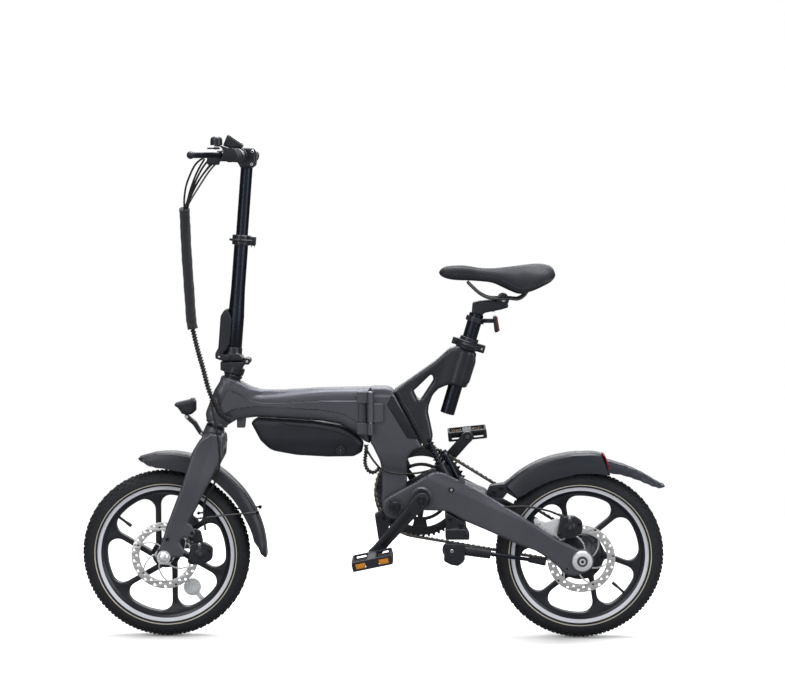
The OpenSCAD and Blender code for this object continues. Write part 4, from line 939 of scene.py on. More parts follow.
def fork_casting():
    blade = fillet(off(HEAD, [(-9, -112, 20), (-12, -165, 30), (-50, -235, 80)]) + off(FRONT, [
        (56, 80, 12), (66, 76, 6), (76, 58, 4), (70, 46, 4), (46, 46, 10), (36, 36, 8), (50, 12, 8),
        (56, 8, 3), (52, 0, 3),
        (18, -2, 8), (12, -11, 10), (0, -17, 10), (-12, -12, 10), (-13, 5, 20), (-8, 28, 30),
        (11, 85, 120), (44, 170, 120)]) + off(HEAD, [
            (-84, -150, 40), (-66, -121, 20), (-40, -106, 12)]))

    def spread(side):
        def shape(x, y, z):
            rise = step(z, HEAD[1] - 235, HEAD[1] - 120)
            x0, z0, x1, z1 = HEAD[0] - 66, HEAD[1] - 118, FRONT[0] + 6, FRONT[1] + 40
            off_line = abs((x - x0) * (z1 - z0) - (z - z0) * (x1 - x0)) / math.hypot(x1 - x0, z1 - z0)
            ridge = max(0, 1 - off_line / 30) * step(z, FRONT[1] + 20, FRONT[1] + 90)
            thick = 0.78 + 0.32 * ridge + 0.8 * rise
            return (x, side * (50 - 13 * rise) + y * thick, z)
        return shape

    blades = [cut(cast([slab(blade, 8, edge=4.5, steps=5)], 2.0, 4, spread(s)),
                  rod(FRONT, 5.3, -90, 90)) for s in (-1, 1)]
    crown = cast([slab(fillet(off(HEAD, [(-68, -121, 10), (-44, -106, 8), (-12, -112, 8), (-8, -131, 10),
            (-14, -158, 14), (-60, -152, 14)])),
                       40, edge=7),
                  stick(lean(HEAD, HEAD_TILT, -134), HEAD_TILT, 25, 22.5, 0, 34, 2)], 2.0, 5)
    steerer = stick(lean(HEAD, HEAD_TILT, -110), HEAD_TILT, 14.2, 14.2, 0, 150, 1)
    eyelets = [at(bolt_head((0, 0), 4.2, -57, -61, 16), (FRONT[0] + dx, FRONT[1] + dz)) for dx,
               dz in ((9, 43), (68, 58), (50, 6))]
    add("fork_casting", joined([*blades, crown, steerer, *eyelets], [0, 0, 0, 0, 1, 1, 1]), [GREY, BOLT],
        "fork", ["fork"],
        angle=40)


# ---------------------------------------------------------------- helpers for whole pieces

BODY = {n: body for body, nodes in frame["record"]["behaviour"]["bodies"].items() for n in nodes}
POST_FOOT = (HEAD[0] + 9, HEAD[1] + 61)


def piece(node, parts, angle=35, name=None, ride=True, also=()):
    """One look for one CAD node: parts is [(mesh, material)]."""
    materials = []
    for _, m in parts:
        if m not in materials:
            materials.append(m)
    mesh = joined([p for p, _ in parts], [materials.index(m) for _, m in parts])
    return add(name or node + "_look", mesh, materials, BODY[node] if ride else None, [node, *also],
               angle)


def leaned(mesh, p, tilt, y=0, turn=0):
    """A mesh drawn upright about the origin, turned, leant rearwards and put at p."""
    mesh.transform(Matrix.Translation((p[0] * MM, y * MM,
                                       p[1] * MM)) @ Matrix.Rotation(math.radians(tilt), 4, "Y")
                   @ Matrix.Rotation(math.radians(turn), 4, "Z"))
    return mesh


def pipe(r, r_in, a0, a1, edge=0.8, steps=48):
    """An upright hollow cylinder about the origin."""
    return turned([(r_in, a0), (r - edge, a0), (r, a0 + edge), (r, a1 - edge), (r - edge, a1),
                   (r_in, a1)], (0, 0),
                  axis="Z", close="loop", steps=steps)


def blend_values(table, x):
    """Smooth interpolation in a table of (x, value, ...) rows, rising in x."""
    if x <= table[0][0]:
        return table[0][1:]
    for low, high in zip(table, table[1:]):
        if x <= high[0]:
            t = (x - low[0]) / (high[0] - low[0])
            t = t * t * (3 - 2 * t)
            return [a + (b - a) * t for a, b in zip(low[1:], high[1:])]
    return table[-1][1:]


# ---------------------------------------------------------------- fenders

def fender_shell(centre, table, half, wall=2.4, crease=0.66, n=72, across=40):
    """A crowned channel round an axle. table rows are (angle, skirt radius, crown radius), rising angles."""
    a0, a1 = table[0][0], table[-1][0]
    bm = bmesh.new()
    skins = []
    for inset in (0, wall):
        rows = []
        for i in range(n + 1):
            a = math.radians(a0 + (a1 - a0) * i / n)
            skirt, crown = blend_values(table, a0 + (a1 - a0) * i / n)
            end = min(1, min(i, n - i) / 3 + 0.55)
            row = []
            for k in range(across + 1):
                t = -1 + 2 * k / across
                lift = (1 - abs(t) ** 3.2) ** (1 / 1.7)
                r = skirt + (crown - inset - skirt) * lift
                y = (half * end - inset) * math.copysign(abs(t) ** 0.62, t)
                ridge = 1.5 * math.exp(-((abs(t) - crease) / 0.05) ** 2)
                row.append(bm.verts.new(((centre[0] + (r + ridge) * math.cos(a)) * MM, y * MM,
                                         (centre[1] + (r + ridge) * math.sin(a)) * MM)))
            rows.append(row)
        for low, high in zip(rows, rows[1:]):
            for k in range(across):
                bm.faces.new((low[k], low[k + 1], high[k + 1], high[k]))
        skins.append(rows)
    for i in range(n):
        for k in (0, across):
            bm.faces.new((skins[0][i][k], skins[0][i + 1][k], skins[1][i + 1][k], skins[1][i][k]))
    for k in range(across):
        for i in (0, n):
            bm.faces.new((skins[0][i][k], skins[0][i][k + 1], skins[1][i][k + 1], skins[1][i][k]))
    bmesh.ops.recalc_face_normals(bm, faces=bm.faces)
    mesh = bpy.data.meshes.new("fender")
    bm.to_mesh(mesh)
    bm.free()
    return mesh


def fenders():
    front = fender_shell(FRONT, [(-2, 235, 239), (2, 225, 239.5), (10, 213, 239.5), (28, 209, 239),
                                 (45, 210, 240.5),
                                 (60, 213, 243), (72, 203, 245), (84, 203, 245), (94, 208, 243),
                                 (99.5, 215, 240.5), (103, 227, 238.5), (105.5, 235, 237.5)], 33.5)
    parts = [(front, FENDER)]
    for s in (-1, 1):
        parts.append((tube(smooth_line([(FRONT[0] + 72, s * 38.5, FRONT[1] + 88),
                                        (FRONT[0] + 140, s * 38.5, FRONT[1] + 97),
                                        (FRONT[0] + 217, s * 38.5, FRONT[1] + 104)]), 2.2), DARK_STEEL))
        parts.append((at(bolt_head((0, 0), 4, s * 33, s * 41.8, 18), (FRONT[0] + 220, FRONT[1] + 104)), BOLT))
        parts.append((rod((FRONT[0] + 72, FRONT[1] + 88), 3.6, *sorted((s * 36, s * 43.5))), BOLT))
    parts.append((stick((HEAD[0] - 47, FRONT[1] + 214), 0, 6, 6, 0, 24), BOLT))
    piece("front_fender", parts)

    rear = fender_shell(REAR, [(78, 205, 247), (82, 202, 247.5), (90, 197, 245.5), (102, 192.5, 244.5),
                               (118, 194, 245),
                               (130, 197, 245), (138, 204, 243)], 33.5)
    tail = fender_shell(REAR, [(39.6, 256, 259), (42, 243.5, 253.5), (46, 235, 249), (51, 228.5, 245.5),
                               (57, 222, 242), (63, 216.5, 239),
                               (70, 210, 236.5), (78.5, 204, 235)], 30, 2.2, 0.6, 48)
    strip = fender_shell(REAR, [(76.8, 220, 247.4), (78.0, 218, 248.4)], 33.9, 1.6, 0.6, 6)
    for mesh in (rear, strip):
        for v in mesh.vertices:
            x, z = v.co.x - REAR[0] * MM, v.co.z - REAR[1] * MM
            near_end = step(90 - math.degrees(math.atan2(z, x)), 0, 9)
            slant = Matrix.Rotation(math.radians(0.19) * (247 - math.hypot(x, z) * 1000) * near_end, 2)
            x, z = slant.inverted() @ Vector((x, z))
            v.co.x, v.co.z = x + REAR[0] * MM, z + REAR[1] * MM
    plate = slab(fillet(off(REAR, [(-219, 158, 6), (-214, 166, 5), (-178, 171, 6), (-160, 186, 3),
                                   (-155, 178, 3), (-172, 150, 6),
                                   (-182, 136, 5), (-220, 142, 8)])), 4.2, -16, 1.2)
    bridge = slab(fillet(off(REAR, [(-216, 158), (-212, 165), (-180, 170), (-166, 180), (-162, 172),
                                    (-176, 157)]), 3), 14, edge=2)
    bolts = [at(bolt_head((0, 0), 5, -20, -25, 20), (REAR[0] + dx, REAR[1] + dz)) for dx,
             dz in ((-204, 151), (-186, 160))]
    piece("rear_fender", [(rear, FENDER), (tail, FENDER), (strip, RED), (plate, FENDER), (bridge, FENDER),
                          *[(b, BOLT) for b in bolts]])


# ---------------------------------------------------------------- brakes

def calipers():
    def body(p, y, cable):
        base = slab(fillet([(p[0] - 30, p[1] - 25, 10), (p[0] + 6, p[1] - 27, 8),
                            (p[0] + 30, p[1] - 14, 12), (p[0] + 31, p[1] + 14, 12),
                            (p[0] + 12, p[1] + 26, 8), (p[0] - 20, p[1] + 25, 10)]), 10, y - 11, 3)
        back = slab(fillet([(p[0] - 26, p[1] - 20, 8), (p[0] + 24, p[1] - 18, 8),
                            (p[0] + 26, p[1] + 16, 10), (p[0] - 20, p[1] + 20, 8)]), 5.5, y + 10, 2)
        bridge = block((p[0] - 20, y - 8, p[1] + 12), (p[0] + 14, y + 12, p[1] + 22), 2)
        knob = turned([(0, 0), (12, 0), (13, 1), (13, 3), (10, 4.4), (5, 5), (4.5, 3), (0, 3)],
                      (p[0] + 2, p[1]), y=y - 22.5)
        knob.transform(Matrix.Translation((0, (2 * (y - 22.5) + 4.6) * MM, 0)) @ Matrix.Scale(-1, 4,
                (0, 1, 0)))
        knob = welded(knob)
        notch = [at(block((11.2, y - 22.4, -1), (13.6, y - 18, 1), 0.3), (p[0] + 2, p[1]),
                    turn=30 * k) for k in range(12)]
        arm = slab(fillet([(p[0] - 2, p[1] - 7, 4), (p[0] + 8, p[1] - 3, 3), (p[0] + 4, p[1] + 27, 4),
                           (p[0] - 4, p[1] + 27, 4)]), 2.2, y - 19, 0.8)
        pinch = rod((p[0], p[1] + 23), 3.6, y - 23, y - 17)
        screws = [at(bolt_head((0, 0), 4, y - 18, y - 23.4, 18), (p[0] + dx, p[1] + dz)) for dx,
                  dz in ((-24, -17), (24, 8))]
        barrel = tube([(p[0] - 26, y - 17, p[1] + 30), (p[0] - 14, y - 17, p[1] + 26)], 3.4, 16)
        lead = tube(smooth_line([cable, (p[0] - 30, y - 17, p[1] + 31), (p[0] - 18, y - 17, p[1] + 27)]), 2.4)
        pads = [block((p[0] - 12, y - 2.3 - (5 if s < 0 else 0), p[1] - 14),
                      (p[0] + 12, y + (-2.3 if s < 0 else 7.3), p[1] + 10), 0.6) for s in (-1,)]
        return [(base, BLACK), (back, BLACK), (bridge, BLACK), (knob, BLACK), *[(n, BOLT) for n in notch],
                (arm, DARK_STEEL), (pinch, STEEL),
                *[(b, BOLT) for b in screws], (barrel, DARK_STEEL), (lead, CABLE),
                *[(b, DARK_STEEL) for b in pads]]

    p = (FRONT[0] + 84, FRONT[1] + 8)
    y = middle("front_rotor")[1]
    mount = slab(fillet(off(FRONT, [(60, 26), (58, 60), (68, 66), (86, 60), (92, 34)]), 4), 4, y - 5, 1)
    parts = body(p, y, (p[0] - 12, y - 8, p[1] + 50))
    piece("front_caliper", parts[:9 + 12 + 0] + parts[21:] + [(mount, BLACK)])
    p = (REAR[0] - 30, REAR[1] + 78)
    y = middle("rear_rotor")[1]
    adapter = slab(fillet(off(REAR, [(-112, 98, 5), (-112, 62, 6), (-88, 50, 10), (-57, 54, 6),
                                     (-40, 84, 8), (-57, 98, 6), (-84, 88, 10)])),
                   3.4, middle("rear_axle")[1] * 0 - 62.4, 1)
    heads = [at(bolt_head((0, 0), 4.6, -65, -70, 20), (REAR[0] + dx, REAR[1] + dz)) for dx,
             dz in ((-101, 84), (-101, 66))]
    parts = body(p, y, (p[0] - 36, y - 12, p[1] + 32))
    piece("rear_caliper", parts + [(adapter, SILVER), *[(h, STEEL) for h in heads]])


def axles():
    y0, y1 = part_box("front_axle")[0][1] * 1000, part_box("front_axle")[1][1] * 1000
    parts = [(rod(FRONT, 5, y0, y1), DARK_STEEL)]
    for s in (-1, 1):
        nut = turned([(0, 0), (9.6, 0), (9.6, 1.2), (8.4, 1.6), (8.2, 6), (7, 6.5), (0, 6.5)], (0, 0),
                     steps=6 if s else 24)
        nut.transform(Matrix.Scale(s, 4, (0, 1, 0)))
        washer = turned([(5, 0), (10, 0), (10, 1.3), (5, 1.3)], (0, 0), close="loop")
        washer.transform(Matrix.Scale(s, 4, (0, 1, 0)))
        parts += [(at(welded(nut), FRONT, s * 58.4), BOLT), (at(welded(washer), FRONT, s * 58.4), DARK_STEEL)]
        cover = turned([(0, 6.8), (6, 6.6), (10, 5.4), (12, 3), (12.4, 0.8), (16, 0.6), (16, 0), (0, 0)],
                       (0, 0), steps=48)
        cover.transform(Matrix.Scale(s, 4, (0, 1, 0)))
        parts.append((at(welded(cover), FRONT, s * 58.5), SILVER))
    piece("front_axle", parts)
    cap = turned([(5.5, -82.1), (23, -82.1), (24, -83), (24, -90), (22.4, -92), (14, -93.6),
                  (12.5, -93.6), (12, -90.4), (7.6, -90.4), (7.2, -95.8),
                  (4, -95.8), (3.6, -91.5), (0, -91.5)], REAR, steps=64)
    ridges = [at(block((22.4, -90.4, -0.9), (24.0, -84.4, 0.9), 0.3), REAR, turn=15 * k) for k in range(24)]
    # painted shade: a thin dark steel ring laid over the cap's groove and a black disc at the mouth of its
    # centre hole stand in for the shade inside them
    hollow = turned([(7.4, -93.6), (12.2, -93.6), (12.2, -94.3), (7.4, -94.3)], REAR, close="loop", steps=48)
    centre = rod(REAR, 3.4, -96.3, -95)
    nut = turned([(5.5, 66.1), (15, 66.1), (15, 67.6), (12, 68), (12, 74.6), (10, 75), (6, 75)], REAR,
                 close="loop", steps=6)
    low = shock_low()
    shock_bolt = [rod(low, 4, -51, 41), bolt_head((0, 0), 7, -45, -51, 6)]
    at(shock_bolt[1], low)
    # hollow and centre carry the painted shade over the cap's groove and centre hole
    piece("rear_axle", [(cap, SILVER), *[(r, SILVER) for r in ridges], (rod(REAR, 6, -94, 80), STEEL),
                        (nut, STEEL), (shock_bolt[0], STEEL),
                        (shock_bolt[1], BOLT), (hollow, DARK_STEEL), (centre, BLACK)])


def shock_low():
    return (HINGE[0] + 190, HINGE[1] - 238)


def shock_high():
    return (HINGE[0] + 130, HINGE[1] - 118)


def shock():
    low, high = shock_low(), shock_high()
    tilt = -math.degrees(math.atan2(low[0] - high[0], high[1] - low[1]))
    length = math.hypot(low[0] - high[0], high[1] - low[1])
    body = turned([(0, 12), (14.5, 12), (16, 14), (16, 24), (14.2, 25.5), (14.2, 55), (16, 56.5),
                   (16, 61), (14.5, 62), (7.3, 62)],
                  (0, 0), axis="Z", steps=48)
    rings = [turned([(14, 28 + 5 * k), (15.3, 28.6 + 5 * k), (15.3, 30.4 + 5 * k), (14, 31 + 5 * k)],
                    (0, 0), axis="Z", close="loop", steps=48)
             for k in range(5)]
    eye = turned([(5.2, -14.6), (13, -14.6), (14.6, -13), (14.6, 13), (13, 14.6), (5.2, 14.6)], (0, 0),
                 close="loop", steps=40)
    can = stick((22, 0), 0, 6.9, 6.9, 10.5, 85.5, 1.2)
    can_ring = stick((22, 0), 0, 7.0, 7.0, 74, 80, 0.6)
    neck = block((5, -4.6, 21), (21, 4.6, 49), 1.6)
    parts = [(body, BLACK), *[(r, BLACK) for r in rings], (eye, BLACK), (can, POST),
             (can_ring, DARK_STEEL), (neck, BLACK)]
    piece("shock_body", [(leaned(m, low, tilt), mat) for m, mat in parts])
    shaft = stick((0, 0), 0, 6.9, 6.9, 30.5, length - 7, 0.5)
    spring = coil([(0, 0, 64.5), (0, 0, length - 12)], 9.2, 1.7, 8.5, 8)
    head_eye = turned([(4.3, -9.8), (9, -9.8), (9.8, -9), (9.8, 9), (9, 9.8), (4.3, 9.8)], (0, length),
                      close="loop", steps=40)
    seat = stick((0, 0), 0, 11, 10, length - 13, length - 8, 0.6)
    piece("shock_shaft", [(leaned(m, low, tilt), mat) for m,
                          mat in ((shaft, POST), (spring, BLACK), (head_eye, BLACK), (seat, BLACK))])


# ---------------------------------------------------------------- drive

def toothed(p, teeth, inner=None, holes=(), depth=3.9, phase=0, half=1.15, y=0):
    pitch = 12.7 / 2 / math.sin(math.pi / teeth)
    pts = []
    for k in range(teeth):
        for f, r in ((-0.5, -depth), (-0.3, -depth + 0.5), (-0.13, 1.6), (-0.05, 2.0), (0.05, 2.0),
                     (0.13, 1.6), (0.3, -depth + 0.5)):
            a = 2 * math.pi * (k + f) / teeth + math.radians(phase)
            pts.append(((pitch + r) * math.cos(a), (pitch + r) * math.sin(a)))
    rings = list(holes)
    if inner:
        rings.append([(inner * math.cos(2 * math.pi * k / 72),
                       inner * math.sin(2 * math.pi * k / 72)) for k in range(72)])
    return at(slab(pts, half, edge=0.25, holes=rings, steps=1), p, y)


def chain_path(r1, r2):
    """Points a link apart round both wheels."""
    v = Vector((REAR[0] - BB[0], REAR[1] - BB[1]))
    d = v.length
    base = math.atan2(v.y, v.x)
    a = math.acos((r1 - r2) / d)
    run = math.sqrt(d * d - (r1 - r2) ** 2)
    wrap1, wrap2 = r1 * (2 * math.pi - 2 * a), r2 * 2 * a
    total = 2 * run + wrap1 + wrap2
    count = 2 * round(total / 12.7 / 2)
    out = []
    for i in range(count):
        s = total * i / count
        if s < run:
            t = s / run
            p1 = Vector(BB) + r1 * Vector((math.cos(base + a), math.sin(base + a)))
            p2 = Vector(REAR) + r2 * Vector((math.cos(base + a), math.sin(base + a)))
            p = p1.lerp(p2, t)
        elif s < run + wrap2:
            ang = base + a - (s - run) / r2
            p = Vector(REAR) + r2 * Vector((math.cos(ang), math.sin(ang)))
        elif s < 2 * run + wrap2:
            t = (s - run - wrap2) / run
            p1 = Vector(REAR) + r2 * Vector((math.cos(base - a), math.sin(base - a)))
            p2 = Vector(BB) + r1 * Vector((math.cos(base - a), math.sin(base - a)))
            p = p1.lerp(p2, t)
        else:
            ang = base - a - (s - 2 * run - wrap2) / r1
            p = Vector(BB) + r1 * Vector((math.cos(ang), math.sin(ang)))
        out.append(p)
    return out


def drive():
    y = middle("chain")[1]
    ring_r = 12.7 / 2 / math.sin(math.pi / 54)
    cog_r = 12.7 / 2 / math.sin(math.pi / 16)
    pts = chain_path(ring_r, cog_r)
    parts = []
    for i, p in enumerate(pts):
        q = pts[(i + 1) % len(pts)]
        u = (q - p).normalized()
        w = Vector((-u.y, u.x))
        gap_y = 2.9 if i % 2 else 3.6
        plate = []
        for c, s in ((p, -1), (q, 1)):
            for k in range(7):
                ang = math.radians(-72 + 24 * k)
                o = c + s * u * math.cos(ang) * 4.2 + s * w * math.sin(ang) * 4.2
                plate.append((o.x, o.y))
        mid = (p + q) / 2
        plate.insert(7, tuple(mid + w * 3.0))
        plate.append(tuple(mid - w * 3.0))
        for side in (-1, 1):
            parts.append((slab(plate, 0.45, y + side * gap_y, 0.1, steps=0), CHAIN_STEEL))
        parts.append((rod((p.x, p.y), 1.8, y - 4.0, y + 4.0, 0.3, 10), DARK_STEEL))
    piece("chain", parts, 30)

    holes = []
    for k in range(5):
        pts = []
        for a, r in [(a, 86) for a in range(-24, 25, 6)] + [(a, 70) for a in range(24, -25, -8)]:
            t = math.radians(72 * k + 16 + a)
            pts.append((r * math.cos(t), r * math.sin(t)))
        holes.append(fillet([(x, z, 3) for x, z in pts]))
    ring = toothed(BB, 54, 62, holes, y=y)
    piece("chainring", [(ring, BLACK)], 30)
    cog = toothed(REAR, 16, 17, phase=9, y=y)
    boss = turned([(16.2, y - 6), (cog_r - 7, y - 6), (cog_r - 6, y - 4.6), (cog_r - 6, y + 4),
                   (cog_r - 8, y + 5), (16.2, y + 5)], REAR,
                  close="loop", steps=48)
    piece("rear_cog", [(cog, CHAIN_STEEL), (boss, DARK_STEEL)], 30)

    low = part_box("crankset")[0][1] * 1000
    left, right = pivot("left_pedal_spin"), pivot("right_pedal_spin")
    parts = [(rod(BB, 12, -78, 78), DARK_STEEL)]
    for c, s in ((left, -1), (right, 1)):
        v = (Vector(c) - Vector(BB))
        u = v.normalized()
        w = Vector((-u.y, u.x))

        def corner(a, b):
            o = Vector(BB) + u * a + w * b
            return (o.x, o.y)

        arm = [corner(a, b) for a, b in ((-15, -11), (-20, 0), (-15, 11), (0, 18.4), (30, 15.4),
                (120, 13), (158, 13), (170, 14.4), (180, 9), (183.6, 0),
                                         (180, -9), (170, -14.4), (158, -13), (120, -13), (30, -15.4),
                                         (0, -18.4))]
        y0 = s * 79
        hole = rod(c, 7.4, -100, 100, 0.1)
        parts.append((cut(slab(fillet([(*p, 9) for p in arm]), 6.6, y0, 3), hole), BLACK))
        groove = [corner(a, b) for a, b in ((36, -5.4), (36, 5.4), (140, 3.6), (140, -3.6))]
        parts.append((slab(fillet([(*p, 3.4) for p in groove]), 0.5, s * 85.9, 0.2), BOLT))
        parts.append((at(bolt_head((0, 0), 10, s * 80, s * 86.6, 36), BB), BOLT))
        parts.append((rod(BB, 17, *sorted((s * 59, s * 76))), BLACK))
    for k in range(5):
        a = 72 * k - 20
        arm = slab(fillet([(12, -12, 5), (70, -5.4, 6), (93, -6, 5), (93, 6, 5), (70, 5.4, 6),
                           (12, 12, 5)]), 2.8, y + 4.4, 1.2)
        parts.append((at(arm, BB, turn=a), BLACK))
        b = at(bolt_head((0, 0), 4, y + 6, y + 9.6, 16), (86, 0))
        parts.append((at(b, BB, turn=a), STEEL))
    parts.append((rod(BB, 24, y + 1.6, y + 14), BLACK))
    piece("crankset", parts)
    for name, c, s, turn in (("left_pedal", left, -1, 12), ("right_pedal", right, 1, 6)):
        pedal(name, c, s, turn)


def pedal(name, c, s, turn):
    """A flat platform: two end plates, a core, toothed cages and a reflector fore and aft."""
    inner, wide = 93, 92
    y0, y1 = sorted((s * inner, s * (inner + wide)))
    outer = fillet([(-47, -11, 5), (47, -11, 5), (47, 11, 5), (-47, 11, 5)])
    pits = [fillet([(x0, -6.4, 2), (x1, -6.4, 2), (x1, 6.4, 2), (x0, 6.4, 2)]) for x0,
            x1 in ((-38, -15), (15, 38))]
    parts = []
    for yy in (y0 + 4, y1 - 4):
        parts.append((slab(outer, 4, yy, 1.4, holes=pits), PLASTIC))
    parts.append((block((-12, y0 + 3, -10), (12, y1 - 3, 10), 3), PLASTIC))
    for e in (-1, 1):
        x0, x1 = sorted((e * 46.6, e * 42))
        parts.append((block((x0, y0 + 2, 5), (x1, y1 - 2, 10.6), 0.8), PLASTIC))
        parts.append((block((x0, y0 + 2, -10.6), (x1, y1 - 2, -5), 0.8), PLASTIC))
        for k in range(9):
            yy = y0 + 10 + k * (wide - 20) / 8
            for z in (-1, 1):
                parts.append((block((x0, yy - 2, z * 9 if z > 0 else -11),
                                    (x1, yy + 2, 11 if z > 0 else -9), 0.5), PLASTIC))
        lens_x = sorted((e * 44.6, e * 41.6))
        parts.append((block((lens_x[0], y0 + 18, -5.4), (lens_x[1], y1 - 18, 5.4), 0.8), AMBER))
        for yy in (y0 + 26, (y0 + y1) / 2, y1 - 26):
            parts.append((block((min(e * 12, e * 42), yy - 2.5, -6), (max(e * 12, e * 42), yy + 2.5, 6),
                                1), PLASTIC))
    for x0, x1 in ((-38, -16), (16, 38)):
        parts.append((block((x0, (y0 if s < 0 else y1 - 3) - 0.0, -5.6),
                            (x1, (y0 + 3 if s < 0 else y1), 5.6), 0.6), AMBER))
    parts = [(at(m, c, turn=turn), mat) for m, mat in parts]
    parts.append((rod(c, 6.8, *sorted((s * 74.5, s * 101))), DARK_STEEL))
    parts.append((turned([(6, s * 87.6), (9, s * 87.6), (9, s * 92), (6, s * 92)], c, close="loop",
                         steps=6), DARK_STEEL))
    piece(name, parts)


def stand():
    mount = cast([slab(fillet(off(BB, [(60, -34), (104, -58), (108, -72), (58, -72), (56, -40)]), 4),
                       28.6, -21, 3),
                  slab(fillet(off(BB, [(57, -72), (108, -72), (114, -84), (114, -98), (57, -98)]), 4),
                       16.8, -41, 3)], 1.6, 2)
    back = turned([(0, -33.8), (15.4, -33.8), (17, -32), (17, -12), (16, -10.2), (0, -10.2)], (0, 0),
                  axis="Z", steps=48)
    axis_turn = Matrix.Translation((STAND[0] * MM, -58 * MM,
                                    STAND[1] * MM)) @ Matrix.Rotation(math.radians(69.4), 4, "X")
    back.transform(axis_turn)
    bolts = [at(bolt_head((0, 0), 4.4, -49, -54, 18), (BB[0] + dx, BB[1] + dz)) for dx,
             dz in ((68, -50), (94, -64))]
    piece("kickstand_mount", [(mount, BLACK), (back, BLACK), *[(b, BOLT) for b in bolts]])
    hub = turned([(0, -9), (13.6, -9), (15, -7.6), (15, 5), (13.4, 7), (6.6, 7), (6.2, 4.6), (0, 4.6)],
                 (0, 0), axis="Z", steps=48)
    hub.transform(axis_turn)
    cap = turned([(0, 4), (5.6, 4), (5.6, 6.4), (4.8, 7), (2.6, 7), (2.3, 5), (0, 5)], (0, 0), axis="Z",
                 steps=24)
    cap.transform(axis_turn)
    sleeve = joined([stick((0, 0), 0, 8.8, 8.8, 8, 40, 1.4), stick((0, 0), 0, 12, 11.4, 32, 98, 2)])
    grip = [turned([(11.4, 38 + 9 * k), (12.3, 39 + 9 * k), (12.3, 41 + 9 * k), (11.4, 42 + 9 * k)],
                   (0, 0), axis="Z", close="loop") for k in range(6)]
    leg = stick((0, 0), 0, 4.6, 4.6, 90, 198, 0.5)
    knob = stick((0, 0), 0, 5.6, 5.6, 100, 106, 0.5)
    foot = turned([(0, 186), (5.8, 186), (7.0, 189), (8.4, 212), (9.4, 220), (9.4, 225), (8, 228),
                   (0, 228)], (0, 0), axis="Z")
    fold = (Matrix.Translation((STAND[0] * MM, -58 * MM,
                                STAND[1] * MM)) @ Matrix.Rotation(-math.radians(JOINT["kickstand_fold"]["range_deg"][1]), 4, Vector((0, 0.936, -0.352)))
            @ Matrix.Rotation(math.radians(-20.6), 4, "X") @ Matrix.Scale(-1, 4, (0, 0, 1)))
    housing = slab(fillet(off(BB, [(57, -103, 5), (103, -103, 7), (103, -144, 14), (88, -157, 12),
                                   (71, -154, 10), (53, -145, 7)])), 8, -68, 3)
    face = slab(fillet(off(BB, [(64, -108, 4), (96, -108, 5), (95, -136, 10), (74, -146, 8),
                                (61, -140, 5)])), 0.7, -76.2, 0.4)
    stud = at(bolt_head((0, 0), 4.2, -76, -79, 20), (BB[0] + 72, BB[1] - 120))
    leg_parts = [(sleeve, PLASTIC), (leg, POST), (knob, BLACK), (foot, RUBBER), *[(g, BLACK) for g in grip]]
    for m, _ in leg_parts:
        m.transform(fold)
        welded(m)
    piece("kickstand", [(hub, BLACK), (cap, SILVER), (housing, BLACK), (face, BLACK), (stud, STEEL),
                        *leg_parts])
    outline = off(ARM, [(-47, -25, 3), (-30, -14, 3), (-25, -20, 3), (-8, -31, 3), (-14, -56, 8),
                        (-26, -88, 5), (-38, -86, 5)])
    piece("parking_foot", [(slab(fillet(outline), 14.8, edge=3), PLASTIC),
                           (at(bolt_head((0, 0), 4, -14, -17.5, 16), (ARM[0] - 26, ARM[1] - 32)), BOLT)])


# ---------------------------------------------------------------- battery, latch and small frame parts

def battery():
    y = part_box("battery")[1][1] * 1000
    outline = fillet(off(HINGE, [(-283, -84, 6), (-268, -74, 10), (-137, -82, 200), (-67, -93, 100),
                                 (-31, -115, 40), (-17, -134, 12),
                                 (-20, -153, 12), (-40, -164, 20), (-102, -165, 60), (-176, -161, 80),
                                 (-236, -150, 40), (-260, -127, 20)]))

    def belly(x, yy, z):
        low = 1 - step(z, HINGE[1] - 160, HINGE[1] - 118)
        nose = 1 - step(x, HINGE[0] - 279, HINGE[0] - 215)
        return (x, yy * (1 - 0.22 * low - 0.18 * nose), z)

    case = cast([slab(outline, y, edge=12, steps=6)], 1.8, 5, belly)
    seam = [(HINGE[0] + dx, HINGE[1] + dz) for dx, dz in ((-246, -74), (-205, -86), (-160, -92),
            (-110, -98), (-70, -108), (-42, -122), (-22, -144))]
    grooves = [tube(smooth_line([(px, s * (y + 0.2), pz) for px, pz in seam]), 2.2, 8) for s in (-1, 1)]
    lock = off(HINGE, [(-71, -148)])[0]
    case = cut(case, *grooves, rod(lock, 11.8, -y - 6, 3 - y, 0.2))
    disc = turned([(0, 0), (10.4, 0), (11.0, -0.6), (11.0, -4.4), (10.2, -5.2), (7.4, -5.2), (7.0, -4.2),
                   (0, -4.2)], lock, y=5 - y, steps=40)
    key = block((lock[0] - 0.9, 0.5 - y, lock[1] - 4), (lock[0] + 0.9, 1.6 - y, lock[1] + 4), 0.3)
    pull = block((HINGE[0] - 262, -7, HINGE[1] - 104), (HINGE[0] - 240, 7, HINGE[1] - 92), 2)
    piece("battery", [(case, PLASTIC), (disc, PLASTIC), (key, DARK_STEEL), (pull, PLASTIC)], 40)


